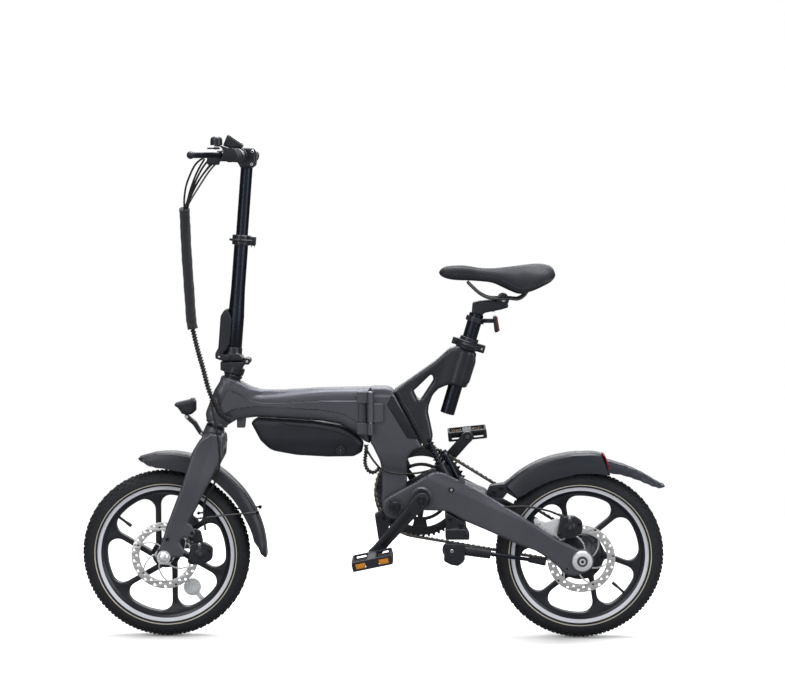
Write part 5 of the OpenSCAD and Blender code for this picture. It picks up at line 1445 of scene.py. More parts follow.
def latch():
    low, high = [v * 1000 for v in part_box("frame_latch")[0]], [v * 1000 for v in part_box("frame_latch")[1]]
    y0, y1 = low[1], high[1]
    handle = slab(fillet([(high[0] - 16, HINGE[1] - 68, 5), (high[0] - 16, HINGE[1] - 42, 5),
                          (low[0] + 16, HINGE[1] - 42, 8), (low[0] + 4, HINGE[1] - 46, 6),
                          (low[0] + 4, HINGE[1] - 64, 6), (low[0] + 16, HINGE[1] - 68, 8)]),
                          (y1 - y0) / 2 - 1.4, (y0 + y1) / 2 - 0.4, 2.6)
    dent = slab(fillet([(low[0] + 26, HINGE[1] - 61, 3), (low[0] + 26, HINGE[1] - 49, 3),
                        (high[0] - 34, HINGE[1] - 51, 3), (high[0] - 34, HINGE[1] - 59, 3)]),
                3, y1 - 2, 1.2)
    hook = block((high[0] - 18, y0 + 0.2, HINGE[1] - 63), (high[0], y0 + 7.8, HINGE[1] - 47), 2)
    barrel = turned([(0, 0), (6.4, 0), (7, 0.8), (7, 25.2), (6.4, 26), (0, 26)],
                    (HINGE[0] - 62, HINGE[1] - 68), axis="Z", y=y0 + 7)
    pin = turned([(0, -0.4), (3, -0.4), (3, 26.4), (0, 26.4)], (HINGE[0] - 62, HINGE[1] - 68), axis="Z",
                 y=y0 + 7)
    piece("frame_latch", [(cut(handle, dent), BLACK), (hook, DARK_STEEL), (barrel, BLACK), (pin, STEEL)])
    pin_z0, pin_z1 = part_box("frame_pins")[0][2] * 1000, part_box("frame_pins")[1][2] * 1000
    hinge_pin = turned([(0, HINGE[1] - 109), (3.6, HINGE[1] - 109), (4.2, HINGE[1] - 108.4),
                        (4.2, HINGE[1] - 7.2), (3.6, HINGE[1] - 6.2), (0, HINGE[1] - 6.2)],
                       (HINGE[0], 0), axis="Z", y=HINGE_Y)
    bolt = turned([(0, 39.4), (7.4, 39.4), (8, 38.6), (8, -49), (13, -49), (13, -53.6), (11.6, -54.9),
                   (6.4, -54.9), (5.8, -51), (0, -51)], ARM, steps=48)
    piece("frame_pins", [(hinge_pin, STEEL), (bolt, BLACK), (rod(shock_high(), 3.9, -21.8, 21.8), STEEL),
                         (at(bolt_head((0, 0), 6.4, -18, -21.9, 6), shock_high()), STEEL)])
    h = (24 + 94) / math.cos(math.radians(HEAD_TILT))
    base = (HEAD[0] - 94 * math.tan(math.radians(HEAD_TILT)), HEAD[1] - 94)
    cups = []
    for s in (0, 1):
        low_a = s * (h + 6) - 6
        cups += [leaned(pipe(22.6, 14.5, low_a, low_a + 6, 1.4), base, HEAD_TILT),
                 leaned(pipe(19.9, 14.5, s * (h - 20), s * (h - 20) + 20), base, HEAD_TILT)]
    piece("headset", [(c, BLACK) for c in cups])


def seat_parts():
    clamp = seat_at(160)
    ring = pipe(27, 22.3, 0.3, 19.7, 1.6)
    ears = [block((23, -8.6 if s < 0 else 1.2, 0.6), (42, -1.2 if s < 0 else 8.6, 19.4),
                  2.4) for s in (-1, 1)]
    cleat = block((-38, -6.6, 3), (-22, 6.6, 19), 2)
    bolt = tube([(34, -11, 10), (34, 11, 10)], 2.6, 14)
    nut = turned([(0, 0), (5.6, 0), (6.4, 0.8), (6.4, 5), (5, 6), (0, 6)], (34, 10), y=9.2, steps=28)
    piece("seat_collar", [(leaned(m, clamp, SEAT_TILT), mat) for m,
                          mat in ((ring, BLACK), (ears[0], BLACK), (ears[1], BLACK), (cleat, BLACK),
                                                                         (bolt, STEEL), (nut, SILVER))])
    cam = stick((32, 0), 0, 8.8, 8.8, 7.6, 13.4, 1.2)
    curve = [(28 * math.cos(math.radians(a)), 33 * math.sin(math.radians(a)), 10.5) for a in range(-54,
            -126, -8)]
    arm = tube(smooth_line([(33, -6, 10.5), *curve], 4), 4, 14, radii=None, flat=0.75)
    piece("seat_lever", [(leaned(m, clamp, SEAT_TILT), mat) for m, mat in ((cam, SILVER), (arm, BLACK))])

    top = seat_at(0)
    length = math.hypot(SADDLE[0] - 63 - top[0], SADDLE[1] - 39 - top[1])
    tube_part = pipe(17, 14.6, 0.2, length + 4, 0.6, 64)
    head = cast([slab(fillet(off(SADDLE, [(-72, -8, 6), (-56, -4, 10), (-14, -1, 6), (-6, -8, 6),
            (12, -12, 4), (12, -20, 4), (-4, -25, 8),
                                          (-44, -33, 10), (-50, -40, 3), (-74, -36, 3)])), 13, edge=5),
                 rod((SADDLE[0], SADDLE[1] - 3), 13, -13, 13)], 1.5, 4)
    head = cut(head, rod(SADDLE, 8.2, -40, 40, 0.1))
    yoke_bolt = tube([(SADDLE[0] - 20, 0, SADDLE[1] - 22), (SADDLE[0] - 23, 0, SADDLE[1] - 31)], 4.2, 6)
    piece("seatpost", [(leaned(tube_part, top, SEAT_TILT), POST), (head, BLACK),
                       (yoke_bolt, SILVER)])

    r_at = seat_at(length - 8)
    band = leaned(pipe(22, 17.2, -8, 4, 1), r_at, SEAT_TILT)
    screw = at(bolt_head((0, 0), 2.6, -7, -10.6, 14),
               seat_at(length - 10)[0:1] + (seat_at(length - 10)[1] - 3,))
    screw.transform(Matrix.Translation((24 * MM, 0, 0)))
    q = seat_at(length - 10)
    strut = slab(fillet([(q[0] + 18, q[1] + 2), (q[0] + 44, q[1] + 2), (q[0] + 44, q[1] - 8),
                         (q[0] + 18, q[1] - 8)], 2.5), 6.8, edge=1.6)
    shell_r = slab(fillet([(q[0] + 42, q[1] + 8, 2.5), (q[0] + 49.4, q[1] + 9.4, 2.5),
                           (q[0] + 55, q[1] - 27.6, 2.5), (q[0] + 46, q[1] - 30, 3)]), 21.8, edge=2)
    face = slab(fillet([(q[0] + 49, q[1] + 8), (q[0] + 51.8, q[1] + 8.4), (q[0] + 57.4, q[1] - 25),
                        (q[0] + 54.4, q[1] - 26)], 1), 19.6, edge=0.9)
    piece("rear_reflector", [(band, BLACK), (screw, BOLT), (strut, BLACK), (shell_r, BLACK), (face, RED)])


# ---------------------------------------------------------------- saddle

TOP = [(0, 63), (6, 71), (19, 77), (42, 79.5), (70, 78.5), (97, 74.5), (129, 73.5), (160, 76),
       (192, 79.5), (225, 83), (246, 82.5), (262, 78), (270, 70),
       (274, 60)]
LOW = [(0, 61), (5, 54), (20, 47), (40, 43.5), (80, 42), (108, 40), (129, 36), (150, 27), (166, 18),
       (180, 10), (190, 8.5), (204, 12), (222, 19), (240, 28), (256, 38),
       (268, 49), (274, 57)]
WIDE = [(0, 3), (3, 11), (8, 16), (16, 20), (40, 22), (70, 22.5), (96, 25), (125, 33), (150, 44),
        (175, 57), (200, 70), (220, 77.5), (238, 79.4), (252, 76),
        (264, 65), (270, 48), (274, 22)]


def saddle():
    front = SADDLE[0] - 152
    count, around = 96, 64
    bm = bmesh.new()
    rings = []
    for i in range(count + 1):
        f = 0.5 - 0.5 * math.cos(math.pi * i / count)
        s = 0.6 + 272.8 * f
        zt, zb, w = blend_lin(TOP, s), blend_lin(LOW, s), blend_lin(WIDE, s)
        ze = zb + (zt - zb) * (0.42 - 0.18 * step(s, 120, 220))
        ring = []
        for k in range(around):
            a = 2 * math.pi * k / around
            c, sn = math.cos(a), math.sin(a)
            y = w * math.copysign(abs(c) ** 0.72, c)
            if sn >= 0:
                z = ze + (zt - ze) * sn ** 0.82
                z -= 4.2 * math.exp(-(y / 8.5) ** 2) * step(s, 55, 110) * (1 - step(s, 235, 262))
                z -= 1.1 * math.exp(-((abs(y) - w * 0.60) / 2.0) ** 2) * step(s, 20,
                        60) * (1 - step(s, 250, 268))
            else:
                z = ze - (ze - zb) * (-sn) ** 0.45
                z += (zt - zb) * 0.12 * step(s, 150, 190) * (1 - (abs(y) / max(w, 1)) ** 2) * (1 - step(s,
                        240, 262))
            ring.append(bm.verts.new(((front + s) * MM, y * MM, (SADDLE[1] + z) * MM)))
        rings.append(ring)
    for low, high in zip(rings, rings[1:]):
        for k in range(around):
            bm.faces.new((low[k], low[(k + 1) % around], high[(k + 1) % around], high[k]))
    bm.faces.new(rings[0])
    bm.faces.new(rings[-1])
    bmesh.ops.recalc_face_normals(bm, faces=bm.faces)
    mesh = bpy.data.meshes.new("saddle")
    bm.to_mesh(mesh)
    bm.free()
    cover = add("saddle_cover", mesh, [COVER], "saddle", ["saddle"], 70)
    cover.modifiers.new("smooth", "SUBSURF").levels = 1
    cover.modifiers["smooth"].render_levels = 1
    wrinkles = bpy.data.textures.new("saddle_wrinkles", "CLOUDS")
    wrinkles.noise_scale = 0.045
    dents = cover.modifiers.new("wrinkles", "DISPLACE")
    dents.texture = wrinkles
    dents.strength = 1.4 * MM
    dents.mid_level = 1.0
    piping = []
    for side in (-1, 1):
        line = []
        for i in range(0, 61):
            s = 14 + 252 * i / 60
            zt, zb, w = blend_lin(TOP, s), blend_lin(LOW, s), blend_lin(WIDE, s)
            ze = zb + (zt - zb) * (0.42 - 0.18 * step(s, 120, 220))
            line.append((front + s, side * (w - 0.5), SADDLE[1] + ze))
        piping.append(tube(line, 0.9, 6))
    add("saddle_piping", joined(piping), [PLASTIC], "saddle", ["saddle"])
    base = slab(fillet([(front + 40, SADDLE[1] + 46), (front + 120, SADDLE[1] + 42),
                        (front + 168, SADDLE[1] + 30), (front + 236, SADDLE[1] + 40),
                        (front + 252, SADDLE[1] + 56), (front + 120, SADDLE[1] + 58),
                        (front + 40, SADDLE[1] + 60)], 6), 17, edge=3)
    add("saddle_base", base, [PLASTIC], "saddle", ["saddle"])
    parts = []
    for s in (-1, 1):
        line = [(SADDLE[0] + dx, s * 22, SADDLE[1] + dz) for dx,
                dz in ((-84, 40), (-74, 30), (-56, 14), (-36, 4), (-16, 2), (14, 2), (34, 1), (48, 9),
                       (56, 20))]
        parts.append((tube(smooth_line(line, 10), 3.5, 14), DARK_STEEL))
        cap = turned([(8.3, 18.7), (12, 18.7), (13, 19.6), (13, 24.6), (11.6, 25.8), (8.3, 25.8)], SADDLE,
                     close="loop")
        if s < 0:
            cap.transform(Matrix.Scale(-1, 4, (0, 1, 0)))
            cap = welded(cap)
        parts.append((cap, BLACK))
        parts.append((rod((SADDLE[0], SADDLE[1]), 7.9, *sorted((s * 12, s * 21.8))), DARK_STEEL))
        parts.append((at(bolt_head((0, 0), 6, s * 20, s * 22, 6), SADDLE), STEEL))
    parts.append((rod(SADDLE, 7.9, -13, 13), DARK_STEEL))
    piece("saddle_rails", parts)


def blend_lin(table, x):
    """Catmull-Rom value in a table of (x, value) pairs."""
    i = 0
    while i < len(table) - 2 and x > table[i + 1][0]:
        i += 1
    (x0, v0), (x1, v1) = table[i], table[i + 1]
    xa, va = table[max(i - 1, 0)]
    xb, vb = table[min(i + 2, len(table) - 1)]
    t = max(0, min(1, (x - x0) / (x1 - x0)))
    m0 = (v1 - va) / (x1 - xa) * (x1 - x0) if x1 != xa else 0
    m1 = (vb - v0) / (xb - x0) * (x1 - x0) if xb != x0 else 0
    return ((2 * t ** 3 - 3 * t * t + 1) * v0 + (t ** 3 - 2 * t * t + t) * m0 + (3 * t * t - 2 * t ** 3) * v1 + (t ** 3 - t * t) * m1)


# ---------------------------------------------------------------- handlebar post

def post_parts():
    foot = POST_FOOT
    lower = turned([(0, 2), (18, 2), (19, 4), (19, 108), (18.4, 118), (16.7, 164), (16.5, 175),
                    (16.5, 274), (16, 280), (14.2, 280), (14.2, 60), (0, 60)],
                   (0, 0), axis="Z", steps=64)
    knuckle = cast([slab(fillet(off(HEAD, [(-16, 62, 3), (-13, 72, 6), (-6, 80, 6), (24, 80, 6),
            (34, 70, 6), (36, 62, 3)])), 22, edge=4),
                    stick(foot, POST_TILT, 21, 20, 4, 34, 2)], 1.5, 3)
    knuckle = cut(knuckle, rod(FOLD, 8.6, 9.8, 40, 0.1), rod(FOLD, 8.6, -40, -9.8, 0.1))
    barrel = rod(FOLD, 7.9, -9.6, 9.6)
    tongue = slab(fillet(off(HEAD, [(20, 63), (20, 74), (40, 68), (46, 62)]), 3), 9.6, edge=1.5)
    ears = [slab(fillet(off(HEAD, [(-27, 68), (-27, 79), (-17, 80), (0, 74), (0, 64), (-17, 64)]), 3),
                 2.5, s * 26, 0.8) for s in (-1, 1)]
    rib = slab(fillet(off(HEAD, [(-8, 66), (-8, 78), (4, 76), (4, 66)]), 2), 27.8, edge=1.5)
    piece("handlepost", [(leaned(lower, foot, POST_TILT), POST), (knuckle, BLACK), (barrel, BLACK),
                         (tongue, BLACK), *[(e, BLACK) for e in ears], (rib, BLACK)])

    base = cast([slab(fillet(off(HEAD, [(-19, 33, 4), (-19, 60.4, 3), (36, 60.4, 3), (40, 54, 4),
                                        (33, 46, 6), (21, 30, 4), (-16, 30, 4)])), 22, edge=4),
                 leaned(pipe(23, 14.6, 0, 18, 2), (HEAD[0] + 31 * math.tan(math.radians(HEAD_TILT)),
            HEAD[1] + 31), HEAD_TILT)], 1.5, 3)
    low = (HEAD[0] + 31 * math.tan(math.radians(HEAD_TILT)), HEAD[1] + 31)
    base = cut(base, rod(FOLD, 8.6, -10, 10, 0.1), leaned(stick((0, 0), 0, 14.4, 14.4, -30, 60, 0.1), low,
            HEAD_TILT),
               leaned(stick((0, 0), 0, 60, 60, -40, -0.6, 0.1), low, HEAD_TILT))
    pin = [rod(FOLD, 3.4, -22, 22), *[rod(FOLD, 7.9, *sorted((s * 10.5, s * 21.8))) for s in (-1, 1)]]
    clamp = [at(bolt_head((0, 0), 3.4, s * 17, s * 21.8, 16), (HEAD[0] - 8, HEAD[1] + 44)) for s in (-1, 1)]
    piece("post_base", [(base, BLACK), (pin[0], STEEL), (pin[1], BLACK), (pin[2], BLACK),
                        *[(c, SILVER) for c in clamp]])

    outline = fillet(off(HEAD, [(-15, 66, 3), (-10, 76, 4), (4, 100, 10), (10, 160, 14), (4, 176, 6),
                                (-4, 186, 6), (-12, 178, 8), (-18, 167, 8), (-21, 127, 20),
                                (-24, 92, 10), (-31, 80, 6), (-31, 66, 5)]))
    shell_l = cast([slab(outline, 22.8, edge=6)], 1.5, 3)
    shell_l = cut(shell_l, leaned(stick((0, 0), 0, 20.4, 20.4, 0, 240, 0.1), foot, POST_TILT),
                  slab(off(HEAD, [(-11, 50), (-11, 86), (40, 90), (40, 50)]), 30, edge=0.2))
    bolt = at(bolt_head((0, 0), 5.4, -21.6, -25.6, 24), (HEAD[0] + 2, HEAD[1] + 117))
    bolt.transform(Matrix.Translation((-8 * MM, 3 * MM, 0)))
    pivot_pin = rod((HEAD[0] - 21, HEAD[1] + 73), 3, -28.8, 28.8)
    piece("post_latch", [(shell_l, PLASTIC), (bolt, STEEL), (pivot_pin, STEEL)])

    c = lean(foot, POST_TILT, 274)
    ring = cut(joined([pipe(22, 14.4, 0.2, 23.8, 1.6)]), block((12, -1.5, -2), (40, 1.5, 30), 0.1))
    ears = [block((18, -8.8 if s < 0 else 1.5, 0.5), (33.8, -1.5 if s < 0 else 8.8, 21.5),
                  2) for s in (-1, 1)]
    dial = stick((28, 0), 0, 4.4, 4.4, -3, 1, 0.6)
    piece("post_collar", [(leaned(m, c, POST_TILT), mat) for m,
                          mat in ((ring, BLACK), (ears[0], BLACK), (ears[1], BLACK), (dial, SILVER))])
    cam = stick((28, 0), 0, 5.4, 5.4, 8.6, 14.4, 0.8)
    curve = [(26.5 * math.cos(math.radians(a)), 26.5 * math.sin(math.radians(a)),
              11.5) for a in range(-48, -170, -10)]
    arm = tube(smooth_line([(28, -6, 11.5), (25, -18, 11.5), *curve], 4), 2.9, 14)
    piece("post_lever", [(leaned(m, c, POST_TILT), mat) for m, mat in ((cam, SILVER), (arm, BLACK))])

    tube_low = 180
    top = leaned(pipe(14, 11.9, tube_low + 0.4, 280 + 20 + 182 - 4, 0.6, 64), foot, POST_TILT)
    stem = cast([slab(fillet(off(BAR, [(-17, -9, 8), (-17, 9, 8), (-8, 18, 8), (12, 18, 6), (30, 17, 6),
                                       (36, 8, 6), (33, -22, 6), (24, -30, 6), (-2, -30, 6),
                                       (-8, -18, 6)])), 22, edge=6)], 1.5, 3)
    stem = cut(stem, rod(BAR, 11.3, -60, 60, 0.1))
    bolts = [at(bolt_head((0, 0), 4, s * 18.4, s * 22, 16), (BAR[0] + dx, BAR[1] + dz)) for s in (-1,
            1) for dx, dz in ((26, 9), (24, -20))]
    faces = [tube([(BAR[0] - 16, y, BAR[1] + z), (BAR[0] - 20, y, BAR[1] + z)], 3, 12) for y in (-14,
            14) for z in (-10, 10)]
    piece("upper_post", [(top, POST), (stem, BLACK), *[(b, SILVER) for b in bolts],
                         *[(f, STEEL) for f in faces]])


# ---------------------------------------------------------------- controls

def bar_parts():
    bar = turned([(9.2, -BAR_HALF), (11.1, -BAR_HALF), (11.1, BAR_HALF), (9.2, BAR_HALF)], BAR,
                 close="loop", steps=56)
    marks = [turned([(11.12, y), (11.16, y + 0.2), (11.16, y + 1.2), (11.12, y + 1.4)], BAR,
                    close="loop") for y in (-30, 28.6)]
    piece("handlebar", [(bar, POST), *[(m, SILVER) for m in marks]])
    grip_y0, end = BAR_HALF - 125 + 2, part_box("grips")[1][1] * 1000
    parts = []
    for s in (-1, 1):
        profile = [(11.3, end - 125)]
        profile += [(15.6, end - 125), (16.1, end - 124), (16.1, end - 118), (15.2, end - 117)]
        for k in range(24):
            a = end - 115 + k * 4.3
            profile += [(14.6, a), (15.5, a + 0.7), (15.5, a + 3), (14.6, a + 3.6)]
        profile += [(15.4, end - 9), (16.1, end - 8), (16.1, end - 1), (14.6, end), (0, end),
                    (0, end - 1.4), (11.3, end - 1.6)]
        grip = turned([(r, s * y) for r, y in profile], BAR, close="loop", steps=48)
        parts.append((grip, RUBBER))
        parts.append((turned([(15.9, s * (end - 122.5)), (16.15, s * (end - 122.2)),
                              (16.15, s * (end - 119.8)), (15.9, s * (end - 119.5))], BAR,
                             close="loop"), DARK_STEEL))
    piece("grips", parts, 40)

    y = -48
    shell_d = cast([slab(fillet(off(BAR, [(-38, 22, 3), (-27, 48.6, 4), (8, 25, 5), (4, 17, 4),
            (-20, 16, 4)])), 23, y, 4)], 1.2, 2)
    a, b = Vector((BAR[0] - 36, BAR[1] + 27)), Vector((BAR[0] - 28.4, BAR[1] + 45.4))
    u = (b - a).normalized()
    edge_a, edge_b = Vector((BAR[0] - 24, BAR[1] + 46.6)), Vector((BAR[0] + 5, BAR[1] + 27))
    v = (edge_b - edge_a).normalized()
    w = Vector((v.y, -v.x)) * -1
    quad = [edge_a + v * 2 - w * 0.6, edge_b - v * 3 - w * 0.6, edge_b - v * 3 + w * 0.9,
            edge_a + v * 2 + w * 0.9]
    screen = slab([(p.x, p.y) for p in quad], 17, y, 0.3, steps=1)
    bezel = [edge_a + v * 1 - w * 1.2, edge_b - v * 2 - w * 1.2, edge_b - v * 2 + w * 0.4,
             edge_a + v * 1 + w * 0.4]
    rim = slab([(p.x, p.y) for p in bezel], 20.4, y, 0.4, steps=1)
    clamp = turned([(11.3, y - 11.8), (15.2, y - 11.8), (16, y - 11), (16, y + 9), (15.2, y + 9.8),
                    (11.3, y + 9.8)], BAR, close="loop")
    neck = slab(fillet(off(BAR, [(-10, 10), (-10, 22), (2, 22), (2, 10)]), 2), 7, y, 1)
    keys = []
    for k in (-1, 0, 1):
        p = edge_b - v * 6
        keys.append(block((p.x - 3.4, y + 10 * k - 3, p.y - 1), (p.x + 3.4, y + 10 * k + 3, p.y + 2.4), 1))
    piece("display", [(shell_d, PLASTIC), (rim, PLASTIC), (screen, SCREEN), (clamp, PLASTIC),
                      (neck, PLASTIC)])

    lever_x = pivot("left_brake_squeeze")[0]
    perch = BAR_HALF + 2 - 125 - 27
    perch = abs(JOINT["right_brake_squeeze"]["pos_m"][1]) * 1000
    parts = []
    for s in (-1, 1):
        yy = s * perch
        parts.append((turned([(11.3, yy - 10.8), (15, yy - 10.8), (16, yy - 9.8), (16, yy + 9.8),
                              (15, yy + 10.8), (11.3, yy + 10.8)], BAR, close="loop"), BLACK))
        body = cast([block((lever_x - 6, yy - 10, BAR[1] - 10.6), (BAR[0] - 9, yy + 10, BAR[1] + 10.6),
                           3)], 1.0, 2)
        slot_cut = block((lever_x - 14, yy - 14, BAR[1] - 7.4), (lever_x + 11, yy + 14, BAR[1] + 7.4), 0.3)
        bore = turned([(0, BAR[1] - 20), (3.1, BAR[1] - 20), (3.1, BAR[1] + 20), (0, BAR[1] + 20)],
                      (lever_x, 0), axis="Z", y=yy)
        parts.append((cut(body, slot_cut, bore), BLACK))
        screw = tube([(BAR[0] - 12, yy, BAR[1] - 13), (BAR[0] - 12, yy, BAR[1] - 16)], 2.8, 12)
        parts.append((screw, SILVER))
    pod_y = 35 - perch
    parts.append((turned([(11.3, pod_y - 8.8), (14.2, pod_y - 8.8), (15, pod_y - 8), (15, pod_y + 8),
                          (14.2, pod_y + 8.8), (11.3, pod_y + 8.8)], BAR, close="loop"), PLASTIC))
    parts.append((cast([block((BAR[0] - 70, pod_y - 11, BAR[1] - 22),
                              (BAR[0] - 42, pod_y + 11, BAR[1] - 2), 4),
                        block((BAR[0] - 46, pod_y - 9, BAR[1] - 14), (BAR[0] - 10, pod_y + 9, BAR[1] - 4),
                              2)], 1.0, 2), PLASTIC))
    for k in (-1, 1):
        parts.append((tube([(BAR[0] - 56, pod_y + 5 * k, BAR[1] - 3),
                            (BAR[0] - 56, pod_y + 5 * k, BAR[1] - 1.2)], 3.2, 16), BLACK if k > 0 else RED))
    piece("control_pods", parts)
    for name, s in (("left_brake_lever", -1), ("right_brake_lever", 1)):
        yy = s * perch
        outline = [(lever_x + dx, s * (perch + dy), r) for dx, dy,
                   r in ((-6, -7, 4), (7, 6, 5), (-12, 22, 10), (-30, 42, 20), (-46, 98, 10),
                         (-56, 104, 5), (-60, 98, 6),
                                                                        (-44, 34, 14))]
        blade = flat_slab(fillet(outline), BAR[1], 6.8, 2.6)
        ball = turned([(8.8 * math.sin(math.radians(9 * k)),
                        -8.8 * math.cos(math.radians(9 * k))) for k in range(21)],
                      (lever_x - 54, BAR[1]), y=s * (perch + 102), steps=28)
        hub = turned([(0, BAR[1] - 9.8), (2.9, BAR[1] - 9.8), (2.9, BAR[1] - 3.6), (8.2, BAR[1] - 3.6),
                      (9, BAR[1] - 2.8), (9, BAR[1] + 2.8), (8.2, BAR[1] + 3.6),
                      (2.9, BAR[1] + 3.6), (2.9, BAR[1] + 9.8), (0, BAR[1] + 9.8)], (lever_x, 0),
                      axis="Z", y=yy)
        piece(name, [(blade, BLACK), (ball, BLACK), (hub, BLACK)])

    bell_y = 54 - perch
    bell_at = (BAR[0] - 51, BAR[1] + 31)
    dome = turned([(0, 12), (4, 12), (9, 11.4), (12, 9.4), (13.6, 6), (14, 0), (14, -8), (12.6, -8),
                   (12.6, 0), (10, 7), (4, 10), (0, 10.4)], bell_at, axis="Z", y=bell_y)
    stem = turned([(0, -18), (4.8, -18), (4.8, 12.6), (3.4, 14), (0, 14)], bell_at, axis="Z", y=bell_y)
    strap = turned([(11.3, bell_y - 4.8), (13.6, bell_y - 4.8), (14, bell_y - 4), (14, bell_y + 4),
                    (13.6, bell_y + 4.8), (11.3, bell_y + 4.8)], BAR, close="loop")
    link = slab(fillet(off(BAR, [(-6, 11), (-38, 21.6), (-54, 25.6), (-54, 20), (-42, 20), (-34, 11),
                                 (-11, 5)]), 1.6), 4.8, bell_y, 1)
    piece("bell", [(dome, BLACK), (stem, STEEL), (strap, PLASTIC), (link, PLASTIC)])
    ring = turned([(5.2, -16.9), (7.8, -16.9), (8, -16.5), (8, -13.5), (7.8, -13.1), (5.2, -13.1)],
                  bell_at, axis="Z", y=bell_y, close="loop")
    flick = tube([(bell_at[0] - 6, bell_y, bell_at[1] - 15), (bell_at[0] - 18, bell_y, bell_at[1] - 15)],
                 1.8, 12, flat=1.4)
    tip = block((bell_at[0] - 21, bell_y - 3, bell_at[1] - 16.9),
                (bell_at[0] - 15, bell_y + 3, bell_at[1] - 13.1), 1)
    piece("bell_striker", [(ring, PLASTIC), (flick, PLASTIC), (tip, PLASTIC)])


def flat_slab(outline, z, half, edge=1.6):
    """A plate lying flat: an outline in [x, y], half thick each way about z."""
    mesh = slab(outline, half, edge=edge)
    mesh.transform(Matrix.Translation((0, 0, z * MM)) @ Matrix.Rotation(-math.pi / 2, 4, "X"))
    return mesh


def lamp():
    pin = pivot("headlight_tilt")
    mid_x, mid_z = pin[0], pin[1] + 25
    body = cast([slab(fillet(off((mid_x, mid_z), [(-29, 2, 2), (-26, 8, 4), (16, 17.6, 6), (22, 12, 5),
            (22, -11, 8), (11, -19.4, 6), (-6, -19.4, 4),
                                                  (-13, -14, 3), (-21, -3, 3)])), 18.6, edge=8, steps=5)],
                                                  1.2, 2)
    body = cut(body, turned([(0, 12), (13.4, 12), (13.8, 40), (0, 40)], (mid_x, mid_z - 1), axis="Z",
                            tilt=-112, steps=48))
    fins = [block((mid_x + 10 + 4 * k, -12, mid_z + 17), (mid_x + 11.6 + 4 * k, 12, mid_z + 18.9),
                  0.5) for k in range(3)]
    lug = [slab(fillet(off(pin, [(-4.5, -1), (-4.5, 10), (4.5, 10), (4.5, -1)]), 1), 2.9, edge=0.6),
           rod(pin, 4.7, -2.9, 2.9)]
    lamp_bolt = [rod(pin, 2.5, -9.6, 9.6, 0.4), at(bolt_head((0, 0), 4.2, -8, -10, 6), pin)]
    bowl = turned([(13.2, 17), (12.4, 13.6), (8, 12.6), (3.4, 12.4), (3.4, 12.1), (13.0, 12.4),
                   (13.4, 17)], (mid_x, mid_z - 1), axis="Z", tilt=-112, close="loop", steps=64)
    led = turned([(0, 12), (3.2, 12), (3.2, 13.4), (2, 14.2), (0, 14.4)], (mid_x, mid_z - 1), axis="Z",
                 tilt=-112)
    glass = turned([(0, 18.2), (8, 17.9), (13.2, 17), (13.2, 16.2), (8, 17), (0, 17.3)],
                   (mid_x, mid_z - 1), axis="Z", tilt=-112, steps=64)
    piece("headlight", [(body, PLASTIC), *[(f, PLASTIC) for f in (*fins, *lug)], (lamp_bolt[0], STEEL),
                        (lamp_bolt[1], SILVER), (bowl, SILVER), (led, REFLECT), (glass, GLASS)])
    arm = slab(fillet(off(HEAD, [(-104, -75.5), (-98, -68), (-79, -84), (-66, -106), (-56, -112),
                                 (-62, -120), (-72, -114), (-86, -92)]), 3), 7.8, edge=1.2)
    space = rod(pin, 9, -3.4, 3.4, 0.1)
    cheeks = [rod(pin, 5, *sorted((side * 3.5, side * 7.9))) for side in (-1, 1)]
    bracket = cut(arm, space)
    piece("light_bracket", [(bracket, BLACK), *[(m, BLACK) for m in cheeks],
                            (at(bolt_head((0, 0), 3, -7.6, -10, 14), (HEAD[0] - 66, HEAD[1] - 112)), STEEL)])


# ---------------------------------------------------------------- cables

BAR_ROUTE = [(-385, -118, 1138), (-408, -100, 1120), (-430, -70, 1080), (-441, -35, 1045),
             (-444, -12, 1018), (-444, 0, 985), (-442, 0, 930), (-439, 0, 875),
             (-435, 0, 810), (-432, 0, 760), (-428, -2, 735), (-416, -14, 690), (-401, -32, 645),
             (-388, -44, 600), (-375, -48, 568), (-362, -46, 542),
             (-348, -42, 528), (-335, -40, 523)]
THROTTLE_ROUTE = [(-376, 118, 1136), (-400, 96, 1112), (-422, 64, 1078), (-434, 34, 1048), (-439, 16, 1022)]
FORK_ROUTE = [(-381, -62, 575), (-374, -66, 540), (-366, -68, 500), (-361, -66, 455), (-362, -62, 415),
              (-376, -54, 372), (-396, -48, 335), (-401, -44, 300),
              (-399, -42, 272), (-398, -40, 262)]
LOOP_ROUTE = [(-18, -30, 464), (-19, -33, 446), (-21, -36, 425), (-16, -38, 408), (-5, -38, 400),
              (6, -36, 403), (13, -33, 412)]
REAR_BRAKE_ROUTE = [(-22, -38, 466), (-12, -42, 446), (2, -47, 426), (20, -47, 408), (48, -45, 399),
                    (80, -45, 398), (108, -46, 401), (128, -48, 406)]
CALIPER_ROUTE = [(300, -61.5, 322), (325, -66, 324), (355, -72, 326), (385, -78, 322), (410, -76, 316),
                 (428, -68, 308)]


def held(name, mesh, material, node):
    """A cable fixed in world space, in place of the CAD node it hides."""
    obj = add(name, mesh, material, None, [node])
    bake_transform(obj)
    return obj


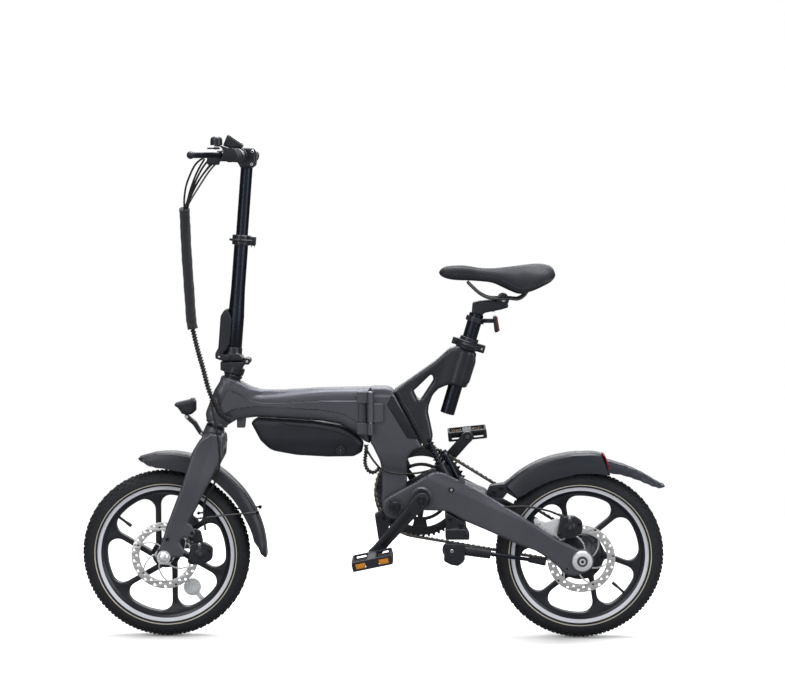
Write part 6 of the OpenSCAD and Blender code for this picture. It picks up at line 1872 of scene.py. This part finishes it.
def cables():
    lines = [
        smooth_line(BAR_ROUTE[:5]),
        smooth_line([(-383, -126, 1134), (-402, -112, 1104), (-420, -84, 1066), (-434, -42, 1034),
                     (-446, -14, 1012)]),
        smooth_line([(-376, -96, 1134), (-396, -84, 1108), (-418, -56, 1070), (-432, -26, 1040),
                     (-440, -8, 1014)]),
        smooth_line([(-345, -50, 1158), (-372, -58, 1128), (-404, -50, 1086), (-428, -24, 1046),
                     (-440, -2, 1012)]),
        smooth_line(THROTTLE_ROUTE),
        smooth_line([(-372, 134, 1136), (-398, 112, 1106), (-420, 78, 1068), (-436, 40, 1036),
                     (-446, 12, 1010)])]
    upper = joined([tube(line, 2.3, 10) for line in lines])
    held("upper_cables", upper, [CABLE], "bar_cables")
    mid = smooth_line(BAR_ROUTE[4:11], 10)
    radii = [12.1 + 0.5 * math.sin(0.9 * i) * math.sin(0.37 * i + 1) for i in range(len(mid))]
    radii[0] = radii[-1] = 10.8
    cover = joined([tube(mid, 12, 28, radii), tube(smooth_line(BAR_ROUTE[4:11])[:3], 12.4, 28),
                    tube(smooth_line(BAR_ROUTE[4:11])[-3:], 12.4, 28)])
    add("cable_sleeve", cover, [SLEEVE], "handlepost", ["bar_cables"], 60)
    lower = smooth_line(BAR_ROUTE[10:], 10)
    half = len(lower) // 2 - 4
    for label, run, a, b in (("upper_spiral", lower[:half + 1], "handlepost", "fork"),
                             ("lower_spiral", lower[half:], "fork", "front_frame")):
        mesh = joined([tube(run, 4.2, 12), coil(run, 4.9, 1.9, 7.2, 8)])
        held(label, mesh, [CABLE], "bar_cables")
    entry = tube([BAR_ROUTE[-2], BAR_ROUTE[-1]], 7.4, 20)
    add("cable_entry", entry, [RUBBER], "front_frame", ["bar_cables"])
    fork_run = smooth_line(FORK_ROUTE, 10)
    add("fork_brake_cable", tube(fork_run, 2.5, 12), [CABLE], "fork", ["fork_cable"])
    loops = [smooth_line(LOOP_ROUTE, 10)]
    loop_mesh = joined([tube(loops[0], 3.2, 12), coil(loops[0], 3.7, 1.7, 6.4, 8)])
    held("hinge_cable_loop", loop_mesh, [CABLE], "frame_cables")
    rear_run = smooth_line(REAR_BRAKE_ROUTE, 10)
    held("hinge_brake_cable", tube(rear_run, 2.5, 12), [CABLE], "frame_cables")
    add("caliper_brake_cable", tube(smooth_line(CALIPER_ROUTE, 10), 2.5, 12), [CABLE], "swingarm",
        ["brake_cable"])


studio()
wheels()
front_casting()
rear_casting()
mast_casting()
swingarm_casting()
fork_casting()
fenders()
calipers()
axles()
shock()
drive()
stand()
battery()
latch()
seat_parts()
saddle()
post_parts()
bar_parts()
lamp()
cables()
